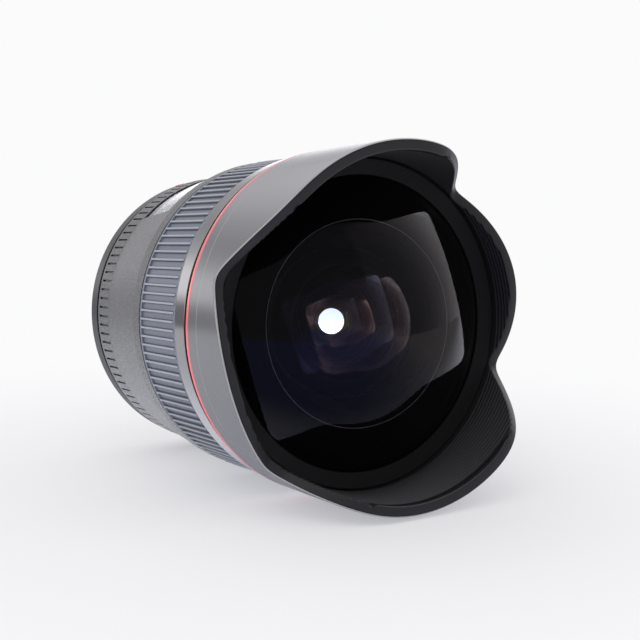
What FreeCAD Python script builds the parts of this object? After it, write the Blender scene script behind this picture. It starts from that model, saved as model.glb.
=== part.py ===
"""Wide-angle prime lens with a fixed petal hood, as the pieces that it comes apart into.

Millimetres. The origin is the centre of the mount's flange face. The optical axis is Y, the
camera is towards +Y and the scene towards -Y, and +Z is the side with the distance window.
A place along the axis is given as its distance ahead of the flange, towards the scene.
Turning positions are degrees from +X towards +Z.
"""

import FreeCAD, Part
import math
import os

import Sketcher

Vector = FreeCAD.Vector
doc = FreeCAD.newDocument("wide_prime_lens")
sheet = doc.addObject("Spreadsheet::Sheet", "Sizes")
sub_parts = []


class Size:
    """A number together with the sheet expression that it comes from."""

    def __init__(self, text, value):
        self.text = text
        self.value = value

    def __add__(self, other):
        other = as_size(other)
        return Size(f"({self.text} + {other.text})", self.value + other.value)

    def __sub__(self, other):
        other = as_size(other)
        return Size(f"({self.text} - {other.text})", self.value - other.value)

    def __mul__(self, other):
        other = as_size(other)
        return Size(f"({self.text} * {other.text})", self.value * other.value)

    def __truediv__(self, other):
        other = as_size(other)
        return Size(f"({self.text} / {other.text})", self.value / other.value)

    def __neg__(self):
        return Size(f"(0 - {self.text})", -self.value)


def as_size(number):
    return number if isinstance(number, Size) else Size(repr(number), number)


def root(number):
    return Size(f"sqrt({number.text})", math.sqrt(number.value))


def cosine(angle):
    angle = as_size(angle)
    return Size(f"cos({angle.text})", math.cos(math.radians(angle.value)))


def sine(angle):
    angle = as_size(angle)
    return Size(f"sin({angle.text})", math.sin(math.radians(angle.value)))


def polar(radius, angle):
    return radius * cosine(angle), radius * sine(angle)


def sag(curve, radius):
    """How far a sphere of radius curve falls away at this distance from the axis."""
    return curve - root(curve * curve - radius * radius)


row = 0


def size(name, value):
    """Writes a driving dimension, or one that follows from others, to the sheet."""
    global row
    row += 1
    value = as_size(value)
    sheet.set(f"A{row}", name)
    sheet.set(f"B{row}", "=" + value.text.replace("Sizes.", ""))
    sheet.setAlias(f"B{row}", name)
    return Size(f"Sizes.{name}", value.value)


# Fits and clearances
running_gap = size("running_gap", 0.05)
seat_gap = size("seat_gap", 0.1)
free_gap = size("free_gap", 0.3)

# Bayonet mount, seal and rear ring
spigot_outer = size("spigot_outer", 26.0)
spigot_wall = size("spigot_wall", 2.0)
spigot_inner = size("spigot_inner", spigot_outer - spigot_wall)
spigot_depth = size("spigot_depth", 6.0)
flange_wide = size("flange_wide", 6.5)
flange_radius = size("flange_radius", spigot_outer + flange_wide)
flange_thick = size("flange_thick", 2.0)
tab_reach = size("tab_reach", 0.95)
tab_radius = size("tab_radius", spigot_outer + tab_reach)
tab_inset = size("tab_inset", 0.8)
tab_thick = size("tab_thick", 1.5)
tab_angle = size("tab_angle", 52.0)
mount_screw_circle = size("mount_screw_circle", (spigot_outer + flange_radius) / 2)
mount_screw_head = size("mount_screw_head", 1.6)
mount_screw_shank = size("mount_screw_shank", 0.9)
mount_screw_sink = size("mount_screw_sink", 1.0)
mount_screw_angle = size("mount_screw_angle", 45.0)
lock_hole_radius = size("lock_hole_radius", 2.05)
lock_hole_angle = size("lock_hole_angle", 172.0)
seal_wide = size("seal_wide", 1.3)
seal_radius = size("seal_radius", flange_radius + seal_wide)
seal_lip = size("seal_lip", 0.4)
rear_web_step = size("rear_web_step", 0.6)
rear_web_inner = size("rear_web_inner", spigot_inner + rear_web_step)
rear_web_thick = size("rear_web_thick", 2.4)
rear_ring_proud = size("rear_ring_proud", 2.4)
rear_ring_radius = size("rear_ring_radius", flange_radius + rear_ring_proud)
rear_ring_long = size("rear_ring_long", 4.4)
rear_ring_front = size("rear_ring_front", flange_thick + rear_ring_long)
rear_ring_wall = size("rear_ring_wall", 3.9)
rear_ring_inner = size("rear_ring_inner", rear_ring_radius - rear_ring_wall)
rear_ring_round = size("rear_ring_round", 1.0)
dot_radius = size("dot_radius", 1.2)
dot_ahead = size("dot_ahead", (flange_thick + rear_ring_front) / 2)
dot_deep = size("dot_deep", 1.2)
dot_floor = size("dot_floor", rear_ring_radius - dot_deep)
dot_proud = size("dot_proud", 0.15)

# Electric contacts, rear baffle and filter holder
block_wide = size("block_wide", 3.2)
block_inner = size("block_inner", spigot_inner - block_wide)
block_inset = size("block_inset", 0.4)
block_rear = size("block_rear", spigot_depth - block_inset)
block_half_angle = size("block_half_angle", 38.0)
block_angle = size("block_angle", 270.0)
baffle_rear = size("baffle_rear", 1.5)
baffle_thick = size("baffle_thick", 1.2)
baffle_wall = size("baffle_wall", 1.1)
pin_circle = size("pin_circle", (block_inner + spigot_inner) / 2)
pin_radius = size("pin_radius", 0.75)
pin_pitch_angle = size("pin_pitch_angle", 7.2)
pin_proud = size("pin_proud", 0.35)
pin_length = size("pin_length", 1.6)
block_screw_angle = size("block_screw_angle", 34.0)
block_screw_head = size("block_screw_head", 0.9)
block_screw_shank = size("block_screw_shank", 0.5)
light_wide = size("light_wide", 27.0)
light_tall = size("light_tall", 19.0)
holder_border = size("holder_border", 2.5)
holder_thick = size("holder_thick", 1.8)
film_slit = size("film_slit", 0.6)

# Main barrel, from the rear to the front
barrel_proud = size("barrel_proud", 0.4)
barrel_rear_radius = size("barrel_rear_radius", rear_ring_radius + barrel_proud)
barrel_wall = size("barrel_wall", 1.7)
neck_deep = size("neck_deep", 1.5)
neck_radius = size("neck_radius", barrel_rear_radius - neck_deep)
neck_long = size("neck_long", 1.8)
neck_front = size("neck_front", rear_ring_front + neck_long)
straight_long = size("straight_long", 7.0)
barrel_flare = size("barrel_flare", neck_front + straight_long)
flare_rise = size("flare_rise", 2.6)
barrel_front_radius = size("barrel_front_radius", barrel_rear_radius + flare_rise)
flare_long = size("flare_long", 20.1)
barrel_step = size("barrel_step", barrel_flare + flare_long)
barrel_step_wide = size("barrel_step_wide", 0.45)
barrel_step_deep = size("barrel_step_deep", 0.25)
band_rise = size("band_rise", 0.2)
band_radius = size("band_radius", barrel_front_radius + band_rise)
band_long = size("band_long", 3.9)
barrel_front = size("barrel_front", barrel_step + band_long)
barrel_seat_deep = size("barrel_seat_deep", 2.4)
barrel_bore = size("barrel_bore", barrel_rear_radius - barrel_wall)
barrel_seat_inner = size("barrel_seat_inner", barrel_bore - barrel_seat_deep)
barrel_seat_thick = size("barrel_seat_thick", 3.2)
barrel_seat_front = size("barrel_seat_front", rear_ring_front + barrel_seat_thick)
serration_count = size("serration_count", 99)
serration_inset = size("serration_inset", 0.8)
serration_rear = size("serration_rear", neck_front + serration_inset)
serration_long = size("serration_long", 5.3)
serration_front = size("serration_front", serration_rear + serration_long)
serration_wide = size("serration_wide", 0.55)
serration_deep = size("serration_deep", 0.4)

# Distance window
window_inset = size("window_inset", 1.0)
window_rear = size("window_rear", barrel_flare + window_inset)
window_long = size("window_long", 16.0)
window_front = size("window_front", window_rear + window_long)
window_angle = size("window_angle", 56.0)
window_rebate = size("window_rebate", 0.9)
window_rebate_angle = size("window_rebate_angle", 3.6)
window_sunk = size("window_sunk", 0.3)
pane_thick = size("pane_thick", 0.9)
pane_gap_angle = size("pane_gap_angle", 0.2)

# Focus mode switch
switch_inset = size("switch_inset", 10.8)
switch_ahead = size("switch_ahead", barrel_flare + switch_inset)
plate_long = size("plate_long", 13.0)
plate_wide = size("plate_wide", 9.0)
plate_sunk = size("plate_sunk", 0.3)
plate_thick = size("plate_thick", 1.6)
plate_floor = size("plate_floor", barrel_rear_radius - plate_sunk)
plate_top = size("plate_top", plate_floor + plate_thick)
plate_slot_long = size("plate_slot_long", 6.4)
plate_slot_wide = size("plate_slot_wide", 2.2)
well_long = size("well_long", 10.0)
well_wide = size("well_wide", 6.4)
knob_long = size("knob_long", 4.4)
knob_wide = size("knob_wide", 5.4)
knob_high = size("knob_high", 1.5)
knob_top = size("knob_top", plate_top + knob_high)
knob_foot_thick = size("knob_foot_thick", 0.9)
stem_long = size("stem_long", 2.6)
switch_travel = size("switch_travel", 3.0)

# Focus ring and its rubber grip
grip_gap = size("grip_gap", 0.6)
grip_rear = size("grip_rear", barrel_front + grip_gap)
grip_long = size("grip_long", 18.5)
grip_front = size("grip_front", grip_rear + grip_long)
grip_proud = size("grip_proud", 0.25)
grip_radius = size("grip_radius", band_radius + grip_proud)
grip_thick = size("grip_thick", 1.35)
grip_seat = size("grip_seat", grip_radius - grip_thick)
grip_border = size("grip_border", 1.4)
grip_border_drop = size("grip_border_drop", 0.15)
rib_count = size("rib_count", 120)
rib_gap_wide = size("rib_gap_wide", 1.2)
rib_deep = size("rib_deep", 0.55)
focus_wall = size("focus_wall", 2.95)
skirt_drop = size("skirt_drop", 0.7)
skirt_wall = size("skirt_wall", 1.4)
skirt_flange_thick = size("skirt_flange_thick", 1.4)
focus_turn_angle = size("focus_turn_angle", 115.0)

# Name ring, accent ring and hood
name_ring_gap = size("name_ring_gap", 0.9)
name_ring_rear = size("name_ring_rear", grip_front + name_ring_gap)
name_ring_long = size("name_ring_long", 5.4)
name_ring_front = size("name_ring_front", name_ring_rear + name_ring_long)
name_ring_proud = size("name_ring_proud", 0.4)
name_ring_radius = size("name_ring_radius", grip_radius + name_ring_proud)
name_ring_flare = size("name_ring_flare", 0.4)
name_ring_wall = size("name_ring_wall", 1.5)
ring_lip_gap = size("ring_lip_gap", 0.65)
ring_lip_radius = size("ring_lip_radius", name_ring_radius - name_ring_wall - ring_lip_gap)
accent_deep = size("accent_deep", 1.35)
accent_inner = size("accent_inner", name_ring_radius - accent_deep)
accent_groove_proud = size("accent_groove_proud", 0.1)
accent_groove_radius = size("accent_groove_radius", name_ring_radius + accent_groove_proud)
accent_groove_long = size("accent_groove_long", 1.1)
accent_step = size("accent_step", name_ring_front + accent_groove_long)
accent_proud = size("accent_proud", 0.7)
accent_radius = size("accent_radius", name_ring_radius + accent_proud)
accent_long = size("accent_long", 1.3)
hood_rear = size("hood_rear", accent_step + accent_long)
hood_proud = size("hood_proud", 0.1)
hood_rear_radius = size("hood_rear_radius", accent_radius + hood_proud)
hood_long = size("hood_long", 27.0)
hood_front = size("hood_front", hood_rear + hood_long)
hood_flare = size("hood_flare", 0.45)
hood_front_radius = size("hood_front_radius", hood_rear_radius + hood_flare)
hood_wall = size("hood_wall", 2.5)
petal_shoulder = size("petal_shoulder", 25.0)
petal_notch = size("petal_notch", 3.5)
hood_floor_thick = size("hood_floor_thick", 2.6)
view_half_angle = size("view_half_angle", 32.812)
frame_ratio = size("frame_ratio", 1.5)
half_tall_ratio = size("half_tall_ratio", sine(view_half_angle) / cosine(view_half_angle))
view_ratio = size("view_ratio", half_tall_ratio * root(frame_ratio * frame_ratio + 1))
notch_inset = size("notch_inset", 8.9)
view_depth = size("view_depth", hood_long - notch_inset + hood_front_radius / view_ratio)
hood_line_inset = size("hood_line_inset", 3.85)
hood_line_wide = size("hood_line_wide", 0.3)
hood_line_deep = size("hood_line_deep", 0.2)
hood_screw_head = size("hood_screw_head", 1.1)
hood_screw_shank = size("hood_screw_shank", 0.6)
hood_screw_sink = size("hood_screw_sink", 1.0)

# Structural core that the rings turn on
track_radius = size("track_radius", grip_seat - focus_wall - running_gap)
track_wall = size("track_wall", 1.6)
nose_step = size("nose_step", 0.6)
nose_front = size("nose_front", name_ring_front - nose_step)
nose_wall = size("nose_wall", 3.4)
nose_inner = size("nose_inner", track_radius - nose_wall)
nose_thick = size("nose_thick", 3.0)
hood_screw_circle = size("hood_screw_circle", (nose_inner + track_radius) / 2)
ring_lip_step = size("ring_lip_step", 1.8)
ring_lip_front = size("ring_lip_front", nose_front - ring_lip_step)
core_web_gap = size("core_web_gap", 1.8)
core_web = size("core_web", barrel_front + core_web_gap)
core_wall = size("core_wall", 1.5)
core_flange_thick = size("core_flange_thick", 1.6)
core_screw_circle = size("core_screw_circle", (barrel_seat_inner + barrel_bore) / 2)
core_screw_angle = size("core_screw_angle", 30.0)
core_screw_head = size("core_screw_head", 0.95)
core_screw_shank = size("core_screw_shank", 0.55)
window_slack_angle = size("window_slack_angle", 1.5)

# Ring motor and output ring, from the outside in
skirt_outer = size("skirt_outer", track_radius - skirt_drop)
output_gap = size("output_gap", 0.5)
output_outer = size("output_outer", skirt_outer - skirt_wall - output_gap)
output_thick = size("output_thick", 1.6)
output_step = size("output_step", 0.8)
motor_outer = size("motor_outer", output_outer - output_step)
motor_wide = size("motor_wide", 6.1)
motor_inner = size("motor_inner", motor_outer - motor_wide)
motor_bay = size("motor_bay", 9.2)
motor_seat = size("motor_seat", barrel_seat_front + motor_bay)
motor_base_thick = size("motor_base_thick", 1.8)
motor_spring_thick = size("motor_spring_thick", 1.4)
stator_thick = size("stator_thick", 2.9)
rotor_thick = size("rotor_thick", 3.0)
stator_slots = size("stator_slots", 24)
stator_slot_wide = size("stator_slot_wide", 0.8)
stator_slot_deep = size("stator_slot_deep", 1.2)
roller_radius = size("roller_radius", 1.25)
roller_inset = size("roller_inset", 1.1)
roller_inner = size("roller_inner", motor_inner + roller_inset)
roller_end = size("roller_end", 0.4)
roller_outer = size("roller_outer", motor_outer - roller_end)
axle_radius = size("axle_radius", 0.4)
core_outer = size("core_outer", motor_inner - free_gap * 2)
tongue_wide = size("tongue_wide", 4.0)
tongue_angle = size("tongue_angle", 180.0)
tongue_half_angle = size("tongue_half_angle", 5.0)
scale_wall = size("scale_wall", 0.8)
scale_inset = size("scale_inset", 1.2)
scale_rear = size("scale_rear", window_rear - scale_inset)
board_thick = size("board_thick", 1.0)
board_angle = size("board_angle", 230.0)

# Guide barrel and cam ring, from the outside in
cam_gap = size("cam_gap", 2.0)
cam_outer = size("cam_outer", core_outer - core_wall - cam_gap)
cam_wall = size("cam_wall", 1.75)
guide_outer = size("guide_outer", cam_outer - cam_wall - running_gap)
guide_wall = size("guide_wall", 1.55)
guide_inner = size("guide_inner", guide_outer - guide_wall)
guide_inset = size("guide_inset", 0.4)
guide_rear = size("guide_rear", barrel_seat_front + guide_inset)
guide_flange_thick = size("guide_flange_thick", 1.5)
support_thick = size("support_thick", 2.0)
cam_rear = size("cam_rear", guide_rear + support_thick + free_gap)
tongue_grip = size("tongue_grip", 1.1)
tongue_inner = size("tongue_inner", cam_outer - tongue_grip)

# Sliding rear cell and its four lens groups, from the rear to the front
cell_inset = size("cell_inset", 1.8)
cell_rear = size("cell_rear", guide_rear + cell_inset)
cell_edge = size("cell_edge", 9.6)
cell_edge_step = size("cell_edge_step", 1.6)
cell_edge_rear = size("cell_edge_rear", cell_edge + cell_edge_step)
cell_shelf = size("cell_shelf", 1.0)
last_inset = size("last_inset", 0.6)
last_thick = size("last_thick", 3.4)
last_rear = size("last_rear", cell_rear + last_inset)
last_front = size("last_front", last_rear + last_thick)
shelf_gap = size("shelf_gap", 1.8)
rear_pair_thick = size("rear_pair_thick", 4.2)
rear_pair_rear = size("rear_pair_rear", last_front + shelf_gap)
rear_pair_front = size("rear_pair_front", rear_pair_rear + rear_pair_thick)
glass_gap = size("glass_gap", 0.8)
single_thick = size("single_thick", 3.0)
single_rear = size("single_rear", rear_pair_front + glass_gap)
single_front = size("single_front", single_rear + single_thick)
cell_pair_thick = size("cell_pair_thick", 4.8)
cell_pair_rear = size("cell_pair_rear", single_front + glass_gap)
cell_pair_front = size("cell_pair_front", cell_pair_rear + cell_pair_thick)
cell_lip = size("cell_lip", 0.2)
cell_front = size("cell_front", cell_pair_front + cell_lip)
cell_travel = size("cell_travel", 3.0)
cell_end_gap = size("cell_end_gap", 0.5)
guide_front = size("guide_front", cell_front + cell_travel + cell_end_gap)
guide_flange_rear = size("guide_flange_rear", guide_front - guide_flange_thick)
stud_inset = size("stud_inset", 6.7)
stud_ahead = size("stud_ahead", cell_rear + stud_inset)
stud_radius = size("stud_radius", 1.5)
stud_deep = size("stud_deep", 1.65)
stud_floor = size("stud_floor", guide_inner - stud_deep)
stud_top = size("stud_top", cam_outer - seat_gap * 2)
steep_ratio = size("steep_ratio", 2.708)
middle_ratio = size("middle_ratio", 3.542)
shallow_ratio = size("shallow_ratio", 6.25)

# Iris, from the rear to the front and from the outside in
BLADE_COUNT = 6
iris_base_thick = size("iris_base_thick", 1.3)
iris_floor = size("iris_floor", guide_front + iris_base_thick)
blade_rest_gap = size("blade_rest_gap", 0.2)
blade_first = size("blade_first", iris_floor + blade_rest_gap)
blade_thick = size("blade_thick", 0.12)
blade_pitch = size("blade_pitch", 0.2)
iris_ring_rear = size("iris_ring_rear", blade_first + blade_pitch * (BLADE_COUNT + 1))
iris_ring_thick = size("iris_ring_thick", 1.0)
iris_cover_rear = size("iris_cover_rear", iris_ring_rear + iris_ring_thick + free_gap)
iris_cover_thick = size("iris_cover_thick", 0.8)
iris_bore = size("iris_bore", core_outer - core_wall - running_gap)
iris_rim_step = size("iris_rim_step", 1.65)
iris_rim_outer = size("iris_rim_outer", iris_bore - iris_rim_step)
iris_rim_wall = size("iris_rim_wall", 1.1)
iris_rim_inner = size("iris_rim_inner", iris_rim_outer - iris_rim_wall)
blade_clear = size("blade_clear", 1.4)
blade_neck_radius = size("blade_neck_radius", iris_rim_inner - blade_clear)
pivot_inset = size("pivot_inset", 1.2)
pivot_circle = size("pivot_circle", blade_neck_radius - pivot_inset)
blade_inset = size("blade_inset", 2.8)
blade_outer = size("blade_outer", pivot_circle - blade_inset)
iris_open = size("iris_open", 9.0)
blade_inner = size("blade_inner", iris_open + free_gap)
stop_inset = size("stop_inset", 2.7)
stop_radius = size("stop_radius", blade_inner - stop_inset)
blade_tip_angle = size("blade_tip_angle", 112.0)
blade_tip_ratio = size("blade_tip_ratio", 0.526)
blade_heel_angle = size("blade_heel_angle", 8.0)
blade_neck_rear_angle = size("blade_neck_rear_angle", 4.5)
blade_neck_front_angle = size("blade_neck_front_angle", 17.5)
blade_shoulder_angle = size("blade_shoulder_angle", 24.0)
pivot_pin_radius = size("pivot_pin_radius", 0.45)
drive_arm = size("drive_arm", 4.0)
drive_arm_angle = size("drive_arm_angle", 100.0)
blade_turn_angle = size("blade_turn_angle", 26.0)
iris_turn_angle = size("iris_turn_angle", 39.0)
iris_ring_inset = size("iris_ring_inset", 0.6)
iris_ring_inner = size("iris_ring_inner", blade_outer - iris_ring_inset)
iris_screw_circle = size("iris_screw_circle", (iris_rim_outer + iris_bore) / 2)
iris_screw_angle = size("iris_screw_angle", 60.0)
iris_screw_head = size("iris_screw_head", 0.75)
iris_screw_shank = size("iris_screw_shank", 0.45)

# Front glass, its cell and the trim ring round it
glass_wall = size("glass_wall", 1.5)
front_ring_wide = size("front_ring_wide", 3.05)
front_edge = size("front_edge", hood_rear_radius - hood_wall - front_ring_wide)
front_seat_step = size("front_seat_step", 2.0)
front_seat = size("front_seat", nose_front + hood_floor_thick + front_seat_step)
front_rim_high = size("front_rim_high", 5.55)
front_rim = size("front_rim", front_seat + front_rim_high)
front_dome_ratio = size("front_dome_ratio", 1.512)
front_curve = size("front_curve", front_edge * front_dome_ratio)
front_apex = size("front_apex", front_rim + sag(front_curve, front_edge))
front_middle = size("front_middle", 3.0)
front_back_ratio = size("front_back_ratio", 0.647)
front_back_curve = size("front_back_curve", front_edge * front_back_ratio)
front_cell_wall = size("front_cell_wall", 0.95)
front_cell_top = size("front_cell_top", front_rim - running_gap)
trim_cover = size("trim_cover", 0.7)
trim_inner = size("trim_inner", front_edge - trim_cover)
trim_inner_high = size("trim_inner_high", 1.15)
trim_inner_ahead = size("trim_inner_ahead", front_rim + trim_inner_high)
trim_outer_high = size("trim_outer_high", 1.05)
trim_outer_ahead = size("trim_outer_ahead", trim_inner_ahead + trim_outer_high)
trim_lip = size("trim_lip", 0.35)
second_edge_step = size("second_edge_step", 1.5)
second_edge = size("second_edge", front_back_curve - second_edge_step)
second_seat_step = size("second_seat_step", 6.3)
second_seat = size("second_seat", front_seat - second_seat_step)
second_high = size("second_high", 11.7)
second_apex = size("second_apex", second_seat + second_high)
second_middle = size("second_middle", 2.5)
second_ratio = size("second_ratio", 1.707)
second_back_ratio = size("second_back_ratio", 0.78)
third_edge_step = size("third_edge_step", 5.0)
third_edge = size("third_edge", second_edge - third_edge_step)
third_seat_step = size("third_seat_step", 9.4)
third_seat = size("third_seat", second_seat - third_seat_step)
third_high = size("third_high", 7.6)
third_apex = size("third_apex", third_seat + third_high)
third_middle = size("third_middle", 1.5)
third_ratio = size("third_ratio", 3.87)
third_back_ratio = size("third_back_ratio", 1.161)
fourth_edge_step = size("fourth_edge_step", 4.0)
fourth_edge = size("fourth_edge", third_edge - fourth_edge_step)
fourth_seat_step = size("fourth_seat_step", 6.05)
fourth_seat = size("fourth_seat", third_seat - fourth_seat_step)
fourth_lip_wide = size("fourth_lip_wide", 0.9)
fourth_lip = size("fourth_lip", fourth_edge - fourth_lip_wide)
fourth_high = size("fourth_high", 5.15)
fourth_ratio = size("fourth_ratio", 1.913)
fourth_joint_ratio = size("fourth_joint_ratio", 5.217)
fourth_back_ratio = size("fourth_back_ratio", 2.609)
joint_ratio = size("joint_ratio", 0.5)


def axis_of(body, role):
    return [item for item in body.Origin.OriginFeatures if item.Role == role][0]


def new_body(name):
    body = doc.addObject("PartDesign::Body", name)
    body.Label = name
    body.AllowCompound = True
    sub_parts.append(body)
    return body


def outline(body, name, plane, points, lift=None):
    """Sketches a closed outline. A point is (x, y), or (x, y, radius, side) where an arc leads on
    to the next point and bulges left of the way there (side 1) or right of it (side -1)."""
    sketch = body.newObject("Sketcher::SketchObject", name)
    sketch.AttachmentSupport = [(axis_of(body, plane), "")]
    sketch.MapMode = "FlatFace"
    if lift is not None:
        lift = as_size(lift)
        sketch.AttachmentOffset = FreeCAD.Placement(Vector(0, 0, lift.value), FreeCAD.Rotation())
        sketch.setExpression("AttachmentOffset.Base.z", lift.text)
    corners = [Vector(as_size(p[0]).value, as_size(p[1]).value, 0) for p in points]
    starts = []
    for index, point in enumerate(points):
        here = corners[index]
        there = corners[(index + 1) % len(points)]
        if len(point) == 2:
            edge = Part.LineSegment(here, there)
            starts.append(1)
        else:
            radius = as_size(point[2]).value
            half = (there - here) / 2
            left = Vector(-half.y, half.x, 0).normalize()
            rise = radius - math.sqrt(radius**2 - half.Length**2)
            edge = Part.Arc(here, here + half + left * rise * point[3], there)
            starts.append(2 if point[3] > 0 else 1)
        sketch.addGeometry(edge, False)
    for index in range(len(points)):
        onward = (index + 1) % len(points)
        end = 3 - starts[index]
        sketch.addConstraint(Sketcher.Constraint("Coincident", index, end, onward, starts[onward]))
    for index, point in enumerate(points):
        for kind, value, across in (("DistanceX", point[0], -2), ("DistanceY", point[1], -1)):
            value = as_size(value)
            if value.text in ("0", "0.0"):
                sketch.addConstraint(Sketcher.Constraint("PointOnObject", index, starts[index], across))
                continue
            place = sketch.addConstraint(Sketcher.Constraint(kind, index, starts[index], value.value))
            sketch.setExpression(f"Constraints[{place}]", value.text)
        if len(point) > 2:
            radius = as_size(point[2])
            place = sketch.addConstraint(Sketcher.Constraint("Radius", index, radius.value))
            sketch.setExpression(f"Constraints[{place}]", radius.text)
    return sketch


def disc_outline(body, name, plane, centre, radius, lift):
    """Sketches one circle."""
    sketch = body.newObject("Sketcher::SketchObject", name)
    sketch.AttachmentSupport = [(axis_of(body, plane), "")]
    sketch.MapMode = "FlatFace"
    lift = as_size(lift)
    sketch.AttachmentOffset = FreeCAD.Placement(Vector(0, 0, lift.value), FreeCAD.Rotation())
    sketch.setExpression("AttachmentOffset.Base.z", lift.text)
    place_x, place_y = as_size(centre[0]), as_size(centre[1])
    middle = Vector(place_x.value, place_y.value, 0)
    sketch.addGeometry(Part.Circle(middle, Vector(0, 0, 1), radius.value), False)
    for kind, value in (("DistanceX", place_x), ("DistanceY", place_y)):
        place = sketch.addConstraint(Sketcher.Constraint(kind, 0, 3, value.value))
        sketch.setExpression(f"Constraints[{place}]", value.text)
    place = sketch.addConstraint(Sketcher.Constraint("Radius", 0, radius.value))
    sketch.setExpression(f"Constraints[{place}]", radius.text)
    return sketch


def along_axis(points):
    """Turns (radius, ahead) points into places of a sketch whose upright is the optical axis.
    That upright runs to the rear, so the side that an arc bulges to changes over."""
    flipped = []
    for point in points:
        arc = (point[2], -point[3]) if len(point) > 2 else ()
        flipped.append((point[0], -as_size(point[1]), *arc))
    return flipped


def turned(name, points):
    """A body of revolution about the optical axis from (radius, ahead) points."""
    body = new_body(name)
    sketch = outline(body, name + "_profile", "XY_Plane", along_axis(points))
    turn = body.newObject("PartDesign::Revolution", name + "_turn")
    turn.Profile = sketch
    turn.ReferenceAxis = (sketch, ["V_Axis"])
    turn.Angle = 360
    return body


def part_turned(body, name, points, span, kind="PartDesign::Revolution"):
    """Turns (radius, ahead) points through a span that is centred on the top of the lens."""
    upright = [(-as_size(p[1]), p[0]) for p in points]
    sketch = outline(body, name + "_profile", "YZ_Plane", upright)
    turn = body.newObject(kind, name)
    turn.Profile = sketch
    turn.ReferenceAxis = (sketch, ["H_Axis"])
    turn.Angle = span.value
    turn.setExpression("Angle", span.text)
    turn.Midplane = True
    return turn


def repeated(body, feature, count):
    """Repeats the last feature evenly round the optical axis."""
    count = as_size(count)
    pattern = body.newObject("PartDesign::PolarPattern", feature.Name + "_round")
    pattern.Originals = [feature]
    pattern.Axis = (axis_of(body, "Y_Axis"), [""])
    pattern.Angle = 360
    pattern.Occurrences = int(count.value)
    if count.text.startswith("Sizes."):
        pattern.setExpression("Occurrences", count.text)
    body.Tip = pattern
    return pattern


def extruded(body, name, sketch, length, cut, count=1):
    """Pads or cuts a sketch along its own normal, then repeats it round the optical axis."""
    feature = body.newObject("PartDesign::Pocket" if cut else "PartDesign::Pad", name)
    feature.Profile = sketch
    length = as_size(length)
    feature.Length = length.value
    feature.setExpression("Length", length.text)
    feature.Reversed = cut
    if count != 1:
        repeated(body, feature, count)
    return feature


def sector(body, name, inner, outer, first, last, rear, front, cut=False, count=1):
    """Pads or cuts a piece of a ring between two radii, two angles and two places ahead."""
    inner, outer = as_size(inner), as_size(outer)
    corners = [
        (*polar(inner, first),),
        (*polar(outer, first), outer, -1),
        (*polar(outer, last),),
        (*polar(inner, last), inner, 1),
    ]
    sketch = outline(body, name + "_outline", "XZ_Plane", corners, rear)
    return extruded(body, name, sketch, as_size(front) - rear, cut, count)


def block(body, name, low_x, high_x, low_z, high_z, rear, front, cut=False, count=1):
    """Pads or cuts an upright rectangle between two places ahead."""
    corners = [(low_x, low_z), (high_x, low_z), (high_x, high_z), (low_x, high_z)]
    sketch = outline(body, name + "_outline", "XZ_Plane", corners, rear)
    return extruded(body, name, sketch, as_size(front) - rear, cut, count)


def peg(body, name, circle, angle, radius, rear, front, cut=False, count=1):
    """Pads or cuts a round peg that runs along the optical axis."""
    sketch = disc_outline(body, name + "_outline", "XZ_Plane", polar(circle, angle), radius, rear)
    return extruded(body, name, sketch, as_size(front) - rear, cut, count)


def side_peg(body, name, ahead, radius, inner, outer, cut=False, count=1):
    """Pads or cuts a round peg that stands out along +X."""
    sketch = disc_outline(body, name + "_outline", "YZ_Plane", (-ahead, 0), radius, inner)
    return extruded(body, name, sketch, as_size(outer) - inner, cut, count)


def side_block(body, name, rear, front, low_z, high_z, inner, outer, cut=False):
    """Pads or cuts a rectangle that stands out along +X."""
    corners = [(-as_size(front), low_z), (-as_size(rear), low_z)]
    corners += [(-as_size(rear), high_z), (-as_size(front), high_z)]
    sketch = outline(body, name + "_outline", "YZ_Plane", corners, inner)
    return extruded(body, name, sketch, as_size(outer) - inner, cut)


def screw_set(name, circle, angle, count, head, shank, top, sink, tip, forward=True):
    """Screws round the axis. Their heads end at top and their points at tip."""
    body = new_body(name)
    if forward:
        peg(body, name + "_head", circle, angle, head, top, top + sink, count=count)
        peg(body, name + "_shank", circle, angle, shank, top + sink, tip, count=count)
    else:
        peg(body, name + "_head", circle, angle, head, top - sink, top, count=count)
        peg(body, name + "_shank", circle, angle, shank, tip, top - sink, count=count)
    return body


MOUNT_SCREWS = 4
MOUNT_TABS = 3
CORE_SCREWS = 3
PIN_COUNT = 8
GUIDE_COUNT = 3


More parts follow.
